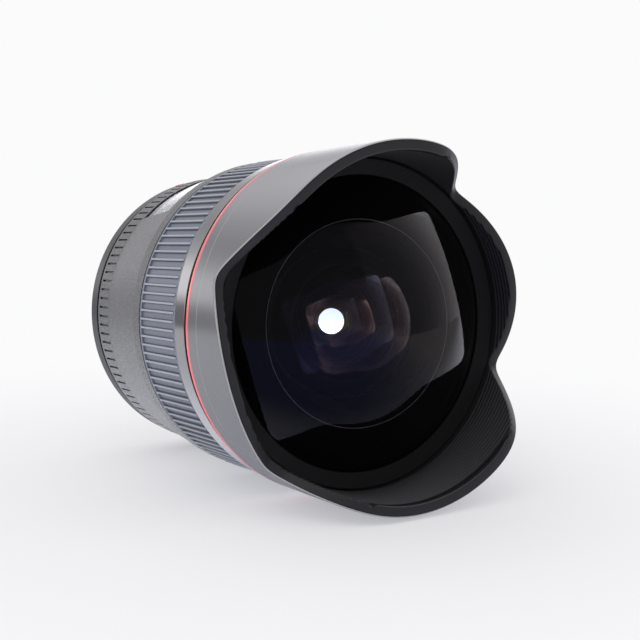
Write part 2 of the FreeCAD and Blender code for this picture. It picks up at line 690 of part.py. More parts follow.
def make_mount():
    """Bayonet flange with its spigot, three tabs, screws, lock hole and rubber seal."""
    body = turned(
        "bayonet_mount",
        [
            (spigot_inner, -spigot_depth),
            (spigot_outer, -spigot_depth),
            (spigot_outer, 0.0),
            (flange_radius, 0.0),
            (flange_radius, flange_thick),
            (spigot_inner, flange_thick),
        ],
    )
    tab_middle = spigot_inner + (spigot_outer - spigot_inner) / 2
    half = tab_angle / 2
    tab_rear = spigot_depth - tab_inset
    sector(
        body, "tabs", tab_middle, tab_radius, -half, half, -tab_rear, tab_thick - tab_rear,
        count=MOUNT_TABS,
    )
    sunk = mount_screw_sink + seat_gap
    peg(
        body, "screw_hole", mount_screw_circle, mount_screw_angle, mount_screw_shank + seat_gap,
        0, flange_thick, cut=True, count=MOUNT_SCREWS,
    )
    peg(
        body, "screw_sink", mount_screw_circle, mount_screw_angle, mount_screw_head + seat_gap,
        0, sunk, cut=True, count=MOUNT_SCREWS,
    )
    peg(
        body, "lock_hole", mount_screw_circle, lock_hole_angle, lock_hole_radius,
        0, flange_thick, cut=True,
    )
    screw_set(
        "mount_screws", mount_screw_circle, mount_screw_angle, MOUNT_SCREWS, mount_screw_head,
        mount_screw_shank, seat_gap, mount_screw_sink, flange_thick + rear_web_thick - seat_gap,
    )
    turned(
        "mount_seal",
        [
            (flange_radius, seal_lip),
            (seal_radius, seal_lip / 2),
            (seal_radius, seal_lip + seal_lip),
            (seal_radius - seal_lip, flange_thick),
            (flange_radius, flange_thick),
        ],
    )


def make_rear_ring():
    """Dark ring between mount and barrel, with the red dot that shows how the mount goes in."""
    corner = rear_ring_radius - rear_ring_round
    body = turned(
        "rear_ring",
        [
            (rear_web_inner, flange_thick),
            (corner, flange_thick, rear_ring_round, -1),
            (rear_ring_radius, flange_thick + rear_ring_round),
            (rear_ring_radius, rear_ring_front),
            (rear_ring_inner, rear_ring_front),
            (rear_ring_inner, flange_thick + rear_web_thick),
            (rear_web_inner, flange_thick + rear_web_thick),
        ],
    )
    peg(
        body, "screw_thread", mount_screw_circle, mount_screw_angle, mount_screw_shank,
        flange_thick, flange_thick + rear_web_thick, cut=True, count=MOUNT_SCREWS,
    )
    for name, cut in (("dot_hole", True), ("index_dot", False)):
        target = body if cut else new_body(name)
        place = (0, -dot_ahead)
        sketch = disc_outline(target, name + "_outline", "XY_Plane", place, dot_radius, dot_floor)
        height = rear_ring_radius - dot_floor + dot_proud
        extruded(target, name + "_peg", sketch, height, cut)


def make_contacts():
    """Contact block with its eight sprung pins and two screws, at the foot of the mount."""
    body = new_body("contact_block")
    first = block_angle - block_half_angle
    last = block_angle + block_half_angle
    block_outer = spigot_inner - running_gap
    sector(body, "block", block_inner, block_outer, first, last, -block_rear, -baffle_rear)
    pins = new_body("contact_pins")
    for index in range(PIN_COUNT):
        angle = block_angle + pin_pitch_angle * (index - (PIN_COUNT - 1) / 2)
        pin_floor = pin_length - block_rear
        peg(
            body, f"pin_hole_{index + 1}", pin_circle, angle, pin_radius, -block_rear, pin_floor,
            cut=True,
        )
        peg(
            pins, f"pin_{index + 1}", pin_circle, angle, pin_radius, -block_rear - pin_proud,
            pin_floor,
        )
    screws = new_body("contact_screws")
    for side in (-1, 1):
        angle = block_angle + block_screw_angle * side
        sides = "left" if side < 0 else "right"
        head_rear = seat_gap - block_rear
        head_front = head_rear + block_screw_head
        peg(
            body, f"head_hole_{sides}", pin_circle, angle, block_screw_head, -block_rear,
            head_front, cut=True,
        )
        peg(
            body, f"shank_hole_{sides}", pin_circle, angle, block_screw_shank, -block_rear,
            -baffle_rear, cut=True,
        )
        peg(screws, f"head_{sides}", pin_circle, angle, block_screw_head, head_rear, head_front)
        peg(
            screws, f"shank_{sides}", pin_circle, angle, block_screw_shank, head_front,
            -baffle_rear,
        )


def make_baffle():
    """Rear light baffle and the holder that takes a thin sheet filter."""
    outer = spigot_inner - running_gap
    floor = baffle_thick - baffle_rear
    seat = rear_web_inner - running_gap
    body = turned(
        "rear_baffle",
        [
            (0, -baffle_rear),
            (outer, -baffle_rear),
            (outer, flange_thick),
            (seat, flange_thick),
            (seat, flange_thick + rear_web_thick),
            (outer - baffle_wall, flange_thick + rear_web_thick),
            (outer - baffle_wall, floor),
            (0, floor),
        ],
    )
    wide, tall = light_wide / 2, light_tall / 2
    block(body, "light_hole", -wide, wide, -tall, tall, -baffle_rear, floor, cut=True)
    holder = new_body("filter_holder")
    out_x, out_z = wide + holder_border, tall + holder_border
    rear = -baffle_rear - holder_thick
    block(holder, "frame", -out_x, out_x, -out_z, out_z, rear, -baffle_rear)
    block(holder, "frame_hole", -wide, wide, -tall, tall, rear, -baffle_rear, cut=True)
    slit_x = (out_x + wide) / 2
    slit_rear = rear + (holder_thick - film_slit) / 2
    slit_front = slit_rear + film_slit
    slit_low = -(out_z + tall) / 2
    block(holder, "film_slit_cut", -slit_x, slit_x, slit_low, out_z, slit_rear, slit_front, cut=True)


def barrel_radius(ahead):
    """Outside radius of the flared stretch of the main barrel."""
    rise = (barrel_front_radius - barrel_rear_radius) / (barrel_step - barrel_flare)
    return barrel_rear_radius + rise * (ahead - barrel_flare)


def make_main_barrel():
    """Fixed outer barrel: rear serrations, flared skin, step line, window and switch well."""
    step_front = barrel_step + barrel_step_wide
    step_floor = barrel_front_radius - barrel_step_deep
    bore_front = band_radius - barrel_wall
    body = turned(
        "main_barrel",
        [
            (barrel_seat_inner, rear_ring_front),
            (neck_radius, rear_ring_front),
            (neck_radius, neck_front),
            (barrel_rear_radius, neck_front),
            (barrel_rear_radius, barrel_flare),
            (barrel_front_radius, barrel_step),
            (step_floor, barrel_step),
            (step_floor, step_front),
            (band_radius, step_front),
            (band_radius, barrel_front),
            (bore_front, barrel_front),
            (bore_front, barrel_step),
            (barrel_bore, barrel_flare),
            (barrel_bore, barrel_seat_front),
            (barrel_seat_inner, barrel_seat_front),
        ],
    )
    groove = barrel_rear_radius - serration_deep
    above = barrel_rear_radius + serration_deep
    half = serration_wide / 2
    block(
        body, "serration", groove, above, -half, half, serration_rear, serration_front,
        cut=True, count=serration_count,
    )
    clear = band_radius + barrel_wall
    opening = [
        (barrel_bore - barrel_wall, window_rear),
        (barrel_bore - barrel_wall, window_front),
        (clear, window_front),
        (clear, window_rear),
    ]
    part_turned(body, "window_opening", opening, window_angle, "PartDesign::Groove")
    shelf = window_sunk + pane_thick
    rear, front = window_rear - window_rebate, window_front + window_rebate
    rebate = [
        (barrel_radius(rear) - shelf, rear),
        (barrel_radius(front) - shelf, front),
        (clear, front),
        (clear, rear),
    ]
    span = window_angle + window_rebate_angle
    part_turned(body, "window_rebate_cut", rebate, span, "PartDesign::Groove")
    flat_rear = switch_ahead - plate_wide / 2
    flat_front = switch_ahead + plate_wide / 2
    edge = plate_long / 2
    side_block(body, "switch_flat", flat_rear, flat_front, -edge, edge, plate_floor, clear, cut=True)
    well_z, well_a = well_long / 2, well_wide / 2
    side_block(
        body, "switch_well", switch_ahead - well_a, switch_ahead + well_a, -well_z, well_z,
        barrel_bore - barrel_wall, clear, cut=True,
    )
    for place in range(CORE_SCREWS):
        angle = core_screw_angle + place * 360 / CORE_SCREWS
        peg(
            body, f"core_thread_{place + 1}", core_screw_circle, angle, core_screw_shank,
            neck_front, barrel_seat_front, cut=True,
        )
    pane = new_body("scale_window")
    rear, front = rear + seat_gap, front - seat_gap
    pane_outline = [
        (barrel_radius(rear) - shelf, rear),
        (barrel_radius(front) - shelf, front),
        (barrel_radius(front) - window_sunk, front),
        (barrel_radius(rear) - window_sunk, rear),
    ]
    part_turned(pane, "pane", pane_outline, span - pane_gap_angle)


def make_switch():
    """Cover plate of the focus mode switch and its sliding knob."""
    plate = new_body("switch_plate")
    rear, front = switch_ahead - plate_wide / 2, switch_ahead + plate_wide / 2
    edge = plate_long / 2
    side_block(
        plate, "plate", rear + seat_gap, front - seat_gap, seat_gap - edge, edge - seat_gap,
        plate_floor, plate_top,
    )
    slot_z, slot_a = plate_slot_long / 2, plate_slot_wide / 2
    side_block(
        plate, "plate_slot", switch_ahead - slot_a, switch_ahead + slot_a, -slot_z, slot_z,
        plate_floor, plate_top, cut=True,
    )
    knob = new_body("switch_knob")
    centre = switch_travel / 2
    half_z, half_a = knob_long / 2, knob_wide / 2
    stem_z = stem_long / 2
    stem_a = slot_a - running_gap
    side_block(
        knob, "knob_stem", switch_ahead - stem_a, switch_ahead + stem_a, centre - stem_z,
        centre + stem_z, plate_floor - seat_gap, plate_top + seat_gap,
    )
    side_block(
        knob, "knob_cap", switch_ahead - half_a, switch_ahead + half_a, centre - half_z,
        centre + half_z, plate_top + running_gap, knob_top,
    )
    foot_z, foot_a = (half_z + stem_z) / 2, well_wide / 2 - free_gap
    foot_top = plate_floor - seat_gap
    side_block(
        knob, "knob_foot", switch_ahead - foot_a, switch_ahead + foot_a, centre - foot_z,
        centre + foot_z, foot_top - knob_foot_thick, foot_top,
    )


def make_core():
    """Fixed inner barrel: carries the motor, the focus ring's track, the hood and the glass."""
    inner = core_outer - core_wall
    flange_outer = barrel_bore - seat_gap
    flange_front = barrel_seat_front + core_flange_thick
    web_front = core_web + core_flange_thick
    body = turned(
        "barrel_core",
        [
            (inner, barrel_seat_front),
            (flange_outer, barrel_seat_front),
            (flange_outer, flange_front),
            (core_outer, flange_front),
            (core_outer, core_web),
            (track_radius, core_web),
            (track_radius, nose_front),
            (nose_inner, nose_front),
            (nose_inner, nose_front - nose_thick),
            (track_radius - track_wall, nose_front - nose_thick),
            (track_radius - track_wall, web_front),
            (inner, web_front),
        ],
    )
    reach_angle = tongue_half_angle + window_slack_angle
    first = tongue_angle - reach_angle
    last = tongue_angle + reach_angle + focus_turn_angle / 2
    output_rear, output_front = output_place()
    sector(
        body, "tongue_window", inner - core_wall, core_outer + core_wall, first, last,
        output_rear - free_gap, output_front + free_gap, cut=True,
    )
    for place in range(CORE_SCREWS):
        angle = core_screw_angle + place * 360 / CORE_SCREWS
        peg(
            body, f"core_hole_{place + 1}", core_screw_circle, angle, core_screw_shank + seat_gap,
            barrel_seat_front, flange_front, cut=True,
        )
        peg(
            body, f"hood_thread_{place + 1}", hood_screw_circle, angle, hood_screw_shank,
            nose_front - nose_thick, nose_front, cut=True,
        )
    screw_set(
        "core_screws", core_screw_circle, core_screw_angle, CORE_SCREWS, core_screw_head,
        core_screw_shank, flange_front + core_screw_head, core_screw_head, neck_front + seat_gap,
        forward=False,
    )


def motor_levels():
    """Places ahead of the motor's four pieces, from its base to the rotor's front face."""
    base_front = motor_seat + motor_base_thick
    spring_front = base_front + motor_spring_thick
    stator_front = spring_front + stator_thick
    return base_front, spring_front, stator_front, stator_front + rotor_thick


def output_place():
    """Rear and front of the output ring, which the rollers stand out of on both sides."""
    middle = motor_levels()[3] + roller_radius + running_gap
    return middle - output_thick / 2, middle + output_thick / 2


def make_motor():
    """Ring motor: fixed base, spring washer, slotted stator and rotor."""
    base_front, spring_front, stator_front, rotor_front = motor_levels()
    turned("motor_base", [
        (core_outer, motor_seat),
        (motor_outer, motor_seat),
        (motor_outer, base_front),
        (core_outer, base_front),
    ])
    turned("motor_spring", [
        (motor_inner, base_front),
        (motor_outer - motor_spring_thick, base_front),
        (motor_outer, spring_front),
        (motor_inner + motor_spring_thick, spring_front),
    ])
    stator = turned("motor_stator", [
        (motor_inner, spring_front),
        (motor_outer, spring_front),
        (motor_outer, stator_front),
        (motor_inner, stator_front),
    ])
    half = stator_slot_wide / 2
    block(
        stator, "comb_slot", motor_inner - core_wall, motor_outer + core_wall, -half, half,
        stator_front - stator_slot_deep, stator_front, cut=True, count=stator_slots,
    )
    turned("motor_rotor", [
        (motor_inner, stator_front),
        (motor_outer, stator_front),
        (motor_outer, rotor_front),
        (motor_inner, rotor_front),
    ])


def make_drive():
    """Output ring with its tongue and rollers, the distance scale and the cam ring."""
    scale_radius = barrel_bore - free_gap
    rear, front = output_place()
    bore = core_outer + free_gap
    ring = turned("output_ring", [
        (bore, rear),
        (output_outer, rear),
        (output_outer, front),
        (bore, front),
    ])
    half = roller_radius + seat_gap
    block(
        ring, "roller_window", roller_inner - seat_gap, roller_outer + seat_gap, -half, half,
        rear, front, cut=True, count=GUIDE_COUNT,
    )
    middle = (rear + front) / 2
    side_peg(
        ring, "axle_bore", middle, axle_radius, bore, output_outer + core_wall, cut=True,
        count=GUIDE_COUNT,
    )
    tongue_half = tongue_wide / 2
    block(
        ring, "tongue", -bore - core_wall / 2, -tongue_inner, -tongue_half, tongue_half, rear, front,
    )
    rollers = new_body("drive_rollers")
    side_peg(
        rollers, "roller", middle, roller_radius, roller_inner, roller_outer, count=GUIDE_COUNT,
    )
    side_peg(
        rollers, "roller_axle", middle, axle_radius, bore + free_gap, output_outer - seat_gap,
        count=GUIDE_COUNT,
    )
    scale_inner = scale_radius - scale_wall
    turned("distance_scale", [
        (scale_inner, scale_rear),
        (scale_radius, scale_rear),
        (scale_radius, front),
        (output_outer, front),
        (output_outer, rear),
        (scale_inner, rear),
    ])
    cam = turned("cam_ring", [
        (guide_outer + running_gap, cam_rear),
        (cam_outer, cam_rear),
        (cam_outer, front + free_gap),
        (guide_outer + running_gap, front + free_gap),
    ])
    notch = tongue_half + running_gap
    block(
        cam, "tongue_notch", -cam_outer - core_wall, -guide_inner, -notch, notch,
        rear - seat_gap, front + free_gap, cut=True,
    )
    cut_helical_slots(cam)


def cut_helical_slots(cam):
    """Three slots that climb by the cell's travel while the cam ring makes its whole turn."""
    turn = focus_turn_angle / 2
    pitch = cell_travel * 360 / turn
    overrun = (stud_radius + free_gap) / cam_outer * (180 / math.pi)
    climb = pitch * overrun / 360
    half = stud_radius + running_gap * 2
    start = stud_ahead - climb
    corners = along_axis([
        (guide_inner, start - half),
        (cam_outer + core_wall, start - half),
        (cam_outer + core_wall, start + half),
        (guide_inner, start + half),
    ])
    sketch = outline(cam, "cam_slot_outline", "XY_Plane", corners)
    swing = FreeCAD.Rotation(Vector(0, 1, 0), -overrun.value)
    sketch.AttachmentOffset = FreeCAD.Placement(Vector(), swing)
    sketch.setExpression("AttachmentOffset.Rotation.Angle", (-overrun).text)
    slot = cam.newObject("PartDesign::SubtractiveHelix", "cam_slot")
    slot.Profile = sketch
    slot.ReferenceAxis = (sketch, ["V_Axis"])
    slot.Mode = 0
    slot.Pitch = pitch.value
    slot.setExpression("Pitch", pitch.text)
    height = cell_travel + climb * 2
    slot.Height = height.value
    slot.setExpression("Height", height.text)
    slot.Angle = 0
    slot.Reversed = True
    slot.LeftHanded = True
    repeated(cam, slot, GUIDE_COUNT)
    return slot


def make_guide():
    """Guide barrel with three straight slots, and the ring that holds its rear end."""
    body = turned("guide_barrel", [
        (guide_inner, guide_rear),
        (guide_outer, guide_rear),
        (guide_outer, guide_flange_rear),
        (iris_bore, guide_flange_rear),
        (iris_bore, guide_front),
        (guide_inner, guide_front),
    ])
    half = stud_radius + running_gap
    clear = stud_radius + free_gap
    block(
        body, "guide_slot", guide_inner - core_wall, guide_outer + core_wall, -half, half,
        stud_ahead - clear, stud_ahead + cell_travel + clear, cut=True, count=GUIDE_COUNT,
    )
    for place in range(CORE_SCREWS):
        angle = iris_screw_angle + place * 360 / CORE_SCREWS
        peg(
            body, f"iris_thread_{place + 1}", iris_screw_circle, angle, iris_screw_shank,
            guide_flange_rear, guide_front, cut=True,
        )
    turned("rear_support", [
        (guide_outer + running_gap, guide_rear),
        (iris_bore, guide_rear),
        (iris_bore, guide_rear + support_thick),
        (guide_outer + running_gap, guide_rear + support_thick),
    ])


def make_iris_housing():
    """Iris base with its pivot holes, the three screws that hold it, and its front cover, whose
    bore is the fixed stop."""
    base = turned("iris_base", [
        (iris_open, guide_front),
        (iris_bore, guide_front),
        (iris_bore, iris_floor),
        (iris_rim_outer, iris_floor),
        (iris_rim_outer, iris_cover_rear),
        (iris_rim_inner, iris_cover_rear),
        (iris_rim_inner, iris_floor),
        (iris_open, iris_floor),
    ])
    peg(
        base, "pivot_hole", pivot_circle, 0, pivot_pin_radius + running_gap, guide_front,
        iris_floor, cut=True, count=BLADE_COUNT,
    )
    peg(
        base, "base_screw_hole", iris_screw_circle, iris_screw_angle, iris_screw_shank,
        guide_front, iris_floor, cut=True, count=CORE_SCREWS,
    )
    turned("iris_cover", [
        (stop_radius, iris_cover_rear),
        (iris_rim_outer, iris_cover_rear),
        (iris_rim_outer, iris_cover_rear + iris_cover_thick),
        (stop_radius, iris_cover_rear + iris_cover_thick),
    ])
    screw_set(
        "iris_screws", iris_screw_circle, iris_screw_angle, CORE_SCREWS, iris_screw_head,
        iris_screw_shank, iris_floor + iris_screw_head, iris_screw_head,
        guide_flange_rear + seat_gap, forward=False,
    )


def drive_pin_place(turn):
    """Where a blade's drive pin lies after the blade has turned, as radius and angle."""
    angle = math.radians(drive_arm_angle.value + turn)
    x = pivot_circle.value + drive_arm.value * math.cos(angle)
    y = drive_arm.value * math.sin(angle)
    return math.hypot(x, y), math.degrees(math.atan2(y, x))


def make_blades():
    """Six thin iris blades. Each lies in a layer of its own, turns on a pin in the base and is
    driven by a second pin that runs in a curved slot of the iris ring."""
    for index in range(BLADE_COUNT):
        name = f"iris_blade_{index + 1}"
        body = new_body(name)
        rear = blade_first + blade_pitch * index
        start = as_size(index * 360 / BLADE_COUNT)
        tip_round = (blade_outer - blade_inner) * blade_tip_ratio
        corners = [
            (*polar(blade_inner, start - blade_heel_angle), blade_inner, -1),
            (*polar(blade_inner, start + blade_tip_angle / 2), blade_inner, -1),
            (*polar(blade_inner, start + blade_tip_angle), tip_round, 1),
            (*polar(blade_outer, start + blade_tip_angle), blade_outer, 1),
            (*polar(blade_outer, start + blade_shoulder_angle),),
            (*polar(blade_neck_radius, start + blade_neck_front_angle), blade_neck_radius, 1),
            (*polar(blade_neck_radius, start - blade_neck_rear_angle),),
        ]
        sketch = outline(body, name + "_outline", "XZ_Plane", corners, rear)
        extruded(body, name + "_leaf", sketch, blade_thick, False)
        peg(body, name + "_pivot", pivot_circle, start, pivot_pin_radius, guide_front, rear)
        arm = polar(drive_arm, start + drive_arm_angle)
        pivot = polar(pivot_circle, start)
        place = (pivot[0] + arm[0], pivot[1] + arm[1])
        pin_front = iris_ring_rear + iris_ring_thick
        pin = disc_outline(
            body, name + "_pin", "XZ_Plane", place, pivot_pin_radius, rear + blade_thick
        )
        extruded(body, name + "_drive", pin, pin_front - rear - blade_thick, False)


def make_iris_ring():
    """Ring that turns all blades together. Its slots follow the pins at a steady turning rate."""
    outer = iris_rim_inner - running_gap * 2
    body = turned("iris_ring", [
        (iris_ring_inner, iris_ring_rear),
        (outer, iris_ring_rear),
        (outer, iris_ring_rear + iris_ring_thick),
        (iris_ring_inner, iris_ring_rear + iris_ring_thick),
    ])
    half = pivot_pin_radius.value + running_gap.value * 2
    stations = []
    for share in (0.0, 0.5, 1.0):
        radius, angle = drive_pin_place(blade_turn_angle.value * share)
        angle = math.radians(angle - iris_turn_angle.value * share)
        stations.append(Vector(radius * math.cos(angle), 0, radius * math.sin(angle)))
    slot = slot_along(stations, half, iris_ring_thick.value)
    slot.translate(Vector(0, -iris_ring_rear.value, 0))
    slots = []
    for index in range(BLADE_COUNT):
        copy = slot.copy()
        copy.rotate(Vector(), Vector(0, -1, 0), index * 360 / BLADE_COUNT)
        slots.append(copy)
    tool = doc.addObject("Part::Feature", "iris_slots")
    tool.Shape = Part.makeCompound(slots)
    sub_parts.remove(body)
    body.Label = "iris_ring_blank"
    ring = doc.addObject("Part::Cut", "iris_ring_cut")
    ring.Base = body
    ring.Tool = tool
    ring.Label = "iris_ring"
    sub_parts.append(ring)


def slot_along(stations, half, thick):
    """A slot with round ends along the arc through three stations, thick towards -Y."""
    first, middle, last = stations
    circle = Part.Arc(first, middle, last).toShape().Curve
    centre = circle.Center
    edges = []
    for reach in (half, -half):
        points = [p + (p - centre).normalize() * reach for p in stations]
        edges.append(Part.Arc(*points).toShape())
    for station, inward in ((first, middle), (last, middle)):
        out = (station - centre).normalize()
        along = (station - inward).cross(out).cross(out).normalize()
        if along.dot(station - inward) < 0:
            along = along * -1
        points = (station + out * half, station + along * half, station - out * half)
        edges.append(Part.Arc(*points).toShape())
    wire = Part.Wire(Part.__sortEdges__(edges))
    return Part.Face(wire).extrude(Vector(0, -thick, 0))


def make_focus_ring():
    """Metal focus ring that turns on the core's track, its drive skirt and its ribbed rubber grip."""
    rear = output_place()[1] + (roller_radius - output_thick / 2) + running_gap
    skirt_inner = skirt_outer - skirt_wall
    web_front = core_web - free_gap
    web_rear = barrel_front + free_gap
    bore = track_radius + running_gap
    turned("focus_ring", [
        (core_outer + free_gap * 2, rear),
        (skirt_outer, rear),
        (skirt_outer, web_rear),
        (grip_seat, web_rear),
        (grip_seat, grip_front),
        (ring_lip_radius, grip_front),
        (ring_lip_radius, ring_lip_front),
        (bore, ring_lip_front),
        (bore, web_front),
        (skirt_inner, web_front),
        (skirt_inner, rear + skirt_flange_thick),
        (core_outer + free_gap * 2, rear + skirt_flange_thick),
    ])
    border = grip_radius - grip_border_drop
    rib_rear = grip_rear + grip_border
    rib_front = grip_front - grip_border
    grip = turned("focus_grip", [
        (grip_seat, grip_rear),
        (border, grip_rear),
        (border, rib_rear),
        (grip_radius, rib_rear),
        (grip_radius, rib_front),
        (border, rib_front),
        (border, grip_front),
        (grip_seat, grip_front),
    ])
    half = rib_gap_wide / 2
    block(
        grip, "rib_gap", grip_radius - rib_deep, grip_radius + rib_deep, -half, half, rib_rear,
        rib_front, cut=True, count=rib_count,
    )


def make_front_rings():
    """Name ring ahead of the focus ring, and the red ring with its darker groove."""
    flange_rear = ring_lip_front + free_gap
    flange_inner = track_radius + seat_gap
    inner = name_ring_radius - name_ring_wall
    turned("name_ring", [
        (name_ring_radius, name_ring_rear),
        (name_ring_radius + name_ring_flare, name_ring_front),
        (accent_inner, name_ring_front),
        (accent_inner, nose_front),
        (flange_inner, nose_front),
        (flange_inner, flange_rear),
        (inner, flange_rear),
        (inner, name_ring_rear),
    ])
    turned("accent_ring", [
        (accent_inner, name_ring_front),
        (accent_groove_radius, name_ring_front),
        (accent_groove_radius, accent_step),
        (accent_radius, accent_step),
        (accent_radius, hood_rear),
        (accent_inner, hood_rear),
    ])


def view_pyramid():
    """The space that the picture's rectangular view needs. Its apex lies on the axis."""
    deep = hood_front.value + hood_wall.value
    half_tall = deep * math.tan(math.radians(view_half_angle.value))
    half_wide = half_tall * frame_ratio.value
    apex = Vector(0, view_depth.value - hood_front.value, 0)
    corners = []
    for across, up in ((-1, -1), (1, -1), (1, 1), (-1, 1)):
        corners.append(apex + Vector(across * half_wide, -deep, up * half_tall))
    faces = [Part.Face(Part.makePolygon(corners + corners[:1]))]
    for index in range(len(corners)):
        near, far = corners[index], corners[(index + 1) % len(corners)]
        faces.append(Part.Face(Part.makePolygon([near, far, apex, near])))
    return Part.Solid(Part.Shell(faces))


def rim_corners(wall, shoulders):
    """The short edges across the wall at the petals' shoulders, or else at their notches."""
    tip = hood_front.value - hood_wall.value / 2
    slack = hood_wall.value / 20
    found = []
    for edge in wall.Edges:
        ahead = -edge.CenterOfMass.y
        across = abs(edge.Length - hood_wall.value) < slack
        at_rim = ahead > hood_rear.value + hood_wall.value
        if across and at_rim and (ahead > tip) == shoulders:
            found.append(edge)
    return found


def make_hood():
    """Petal hood. The view pyramid cuts its skin into two long and two short petals, and the wall
    is raised square to that skin, so that every rim face is as wide as the wall is thick."""
    inner_rear = hood_rear_radius.value - hood_wall.value
    inner_front = hood_front_radius.value - hood_wall.value
    line_rear = hood_rear.value + hood_line_inset.value
    root_ahead = hood_rear.value + hood_wall.value / 2
    share = (root_ahead - hood_rear.value) / (hood_front.value - hood_rear.value)
    low = Vector(inner_rear + (inner_front - inner_rear) * share, -root_ahead, 0)
    high = Vector(inner_front, -hood_front.value, 0)
    edge = Part.LineSegment(low, high).toShape()
    skin = edge.revolve(Vector(), Vector(0, 1, 0), 360)
    petals = skin.cut(view_pyramid()).Faces[0]
    wall = petals.makeOffsetShape(-hood_wall.value, 0.01, fill=True)
    wall = wall.makeFillet(petal_shoulder.value, rim_corners(wall, True))
    wall = wall.makeFillet(petal_notch.value, rim_corners(wall, False))
    petal_wall = doc.addObject("Part::Feature", "petal_wall")
    petal_wall.Shape = wall
    floor_front = nose_front + hood_floor_thick
    collar = hood_rear_radius - hood_wall
    base = turned("hood_base", [
        (nose_inner, nose_front),
        (accent_inner - seat_gap, nose_front),
        (accent_inner - seat_gap, hood_rear),
        (hood_rear_radius, hood_rear),
        (hood_rear_radius, hood_rear + hood_wall),
        (collar, hood_rear + hood_wall),
        (collar, floor_front),
        (nose_inner, floor_front),
    ])
    head = hood_screw_head + seat_gap
    shank = hood_screw_shank + seat_gap
    peg(
        base, "hood_hole", hood_screw_circle, core_screw_angle, shank, nose_front, floor_front,
        cut=True, count=CORE_SCREWS,
    )
    peg(
        base, "hood_sink", hood_screw_circle, core_screw_angle, head,
        floor_front - hood_screw_sink, floor_front, cut=True, count=CORE_SCREWS,
    )
    sub_parts.remove(base)
    joined = doc.addObject("Part::MultiFuse", "hood_joined")
    joined.Shapes = [base, petal_wall]
    joined.Refine = True
    line_start, ahead = Vector(0, -line_rear, 0), Vector(0, -1, 0)
    line_floor = hood_rear_radius.value - hood_line_deep.value
    line_clear = hood_front_radius.value + hood_wall.value
    outside = Part.makeCylinder(line_clear, hood_line_wide.value, line_start, ahead)
    inside = Part.makeCylinder(line_floor, hood_line_wide.value, line_start, ahead)
    groove = doc.addObject("Part::Feature", "hood_line_tool")
    groove.Shape = outside.cut(inside)
    hood = doc.addObject("Part::Cut", "hood_cut")
    hood.Base = joined
    hood.Tool = groove
    hood.Label = "hood"
    sub_parts.append(hood)
    screw_set(
        "hood_screws", hood_screw_circle, core_screw_angle, CORE_SCREWS, hood_screw_head,
        hood_screw_shank, floor_front - seat_gap, hood_screw_sink - seat_gap,
        nose_front - nose_thick + seat_gap, forward=False,
    )


def make_front_cell():
    """Front cell with its stepped seats, and the ring that traps the front glass."""
    floor_front = nose_front + hood_floor_thick
    flange_outer = hood_rear_radius - hood_wall - seat_gap
    flange_top = floor_front + glass_wall
    wall_outer = front_edge + running_gap + front_cell_wall
    tube_outer = second_edge + glass_wall
    waist_outer = third_edge + glass_wall
    tail_outer = fourth_edge + glass_wall
    tail_rear = fourth_seat - glass_wall
    turned("front_cell", [
        (front_edge + running_gap, front_cell_top),
        (wall_outer, front_cell_top),
        (wall_outer, flange_top),
        (flange_outer, flange_top),
        (flange_outer, floor_front),
        (tube_outer, floor_front),
        (tube_outer, second_seat - glass_wall),
        (waist_outer, second_seat - glass_wall),
        (waist_outer, third_seat - glass_wall),
        (tail_outer, third_seat - glass_wall),
        (tail_outer, tail_rear),
        (fourth_lip, tail_rear),
        (fourth_lip, fourth_seat),
        (fourth_edge + running_gap, fourth_seat),
        (fourth_edge + running_gap, third_seat),
        (third_edge + running_gap, third_seat),
        (third_edge + running_gap, second_seat),
        (second_edge + running_gap, second_seat),
        (second_edge + running_gap, front_seat),
        (front_edge + running_gap, front_seat),
    ])
    trim_outer = hood_rear_radius - hood_wall - running_gap
    sleeve = wall_outer + seat_gap
    body = turned("trim_ring", [
        (trim_inner, trim_inner_ahead),
        (trim_outer, trim_outer_ahead),
        (trim_outer, flange_top + free_gap),
        (sleeve, flange_top + free_gap),
        (sleeve, front_cell_top + seat_gap * 2),
        (front_edge, front_cell_top + seat_gap * 4),
        (trim_inner, trim_inner_ahead - trim_lip),
    ])
    return body


def meniscus(name, edge, apex, curve, middle, back_curve, seat):
    """A lens that is hollow behind: domed front, round edge, flat seat and concave back."""
    hollow = apex - middle - seat
    back_edge = root(back_curve * hollow * 2 - hollow * hollow)
    turned(name, [
        (0, apex, curve, 1),
        (edge, apex - sag(curve, edge)),
        (edge, seat),
        (back_edge, seat, back_curve, -1),
        (0, apex - middle),
    ])


def make_front_glass():
    """The three negative front lenses."""
    meniscus(
        "front_element", front_edge, front_apex, front_curve, front_middle, front_back_curve,
        front_seat,
    )
    meniscus(
        "second_element", second_edge, second_apex, second_edge * second_ratio, second_middle,
        second_edge * second_back_ratio, second_seat,
    )
    meniscus(
        "third_element", third_edge, third_apex, third_edge * third_ratio, third_middle,
        third_edge * third_back_ratio, third_seat,
    )


def cemented_pair(name, edge, rear, front, curves):
    """Two lenses cemented face to face, domed at both ends, as two solids in one piece. The
    three curves are those of the front, the cemented joint and the back."""
    front_curve_of, joint_curve, back_curve_of = curves
    front_rim = front - sag(front_curve_of, edge)
    rear_rim = rear + sag(back_curve_of, edge)
    joint_rim = rear_rim + (front_rim - rear_rim) * joint_ratio
    joint_apex = joint_rim - sag(joint_curve, edge)
    crown = turned(name + "_crown", [
        (0, front, front_curve_of, 1),
        (edge, front_rim),
        (edge, joint_rim, joint_curve, 1),
        (0, joint_apex),
    ])
    flint = turned(name + "_flint", [
        (0, joint_apex, joint_curve, -1),
        (edge, joint_rim),
        (edge, rear_rim, back_curve_of, 1),
        (0, rear),
    ])
    sub_parts.remove(crown)
    sub_parts.remove(flint)
    pair = doc.addObject("Part::Compound", name + "_pair")
    pair.Links = [crown, flint]
    pair.Label = name
    sub_parts.append(pair)


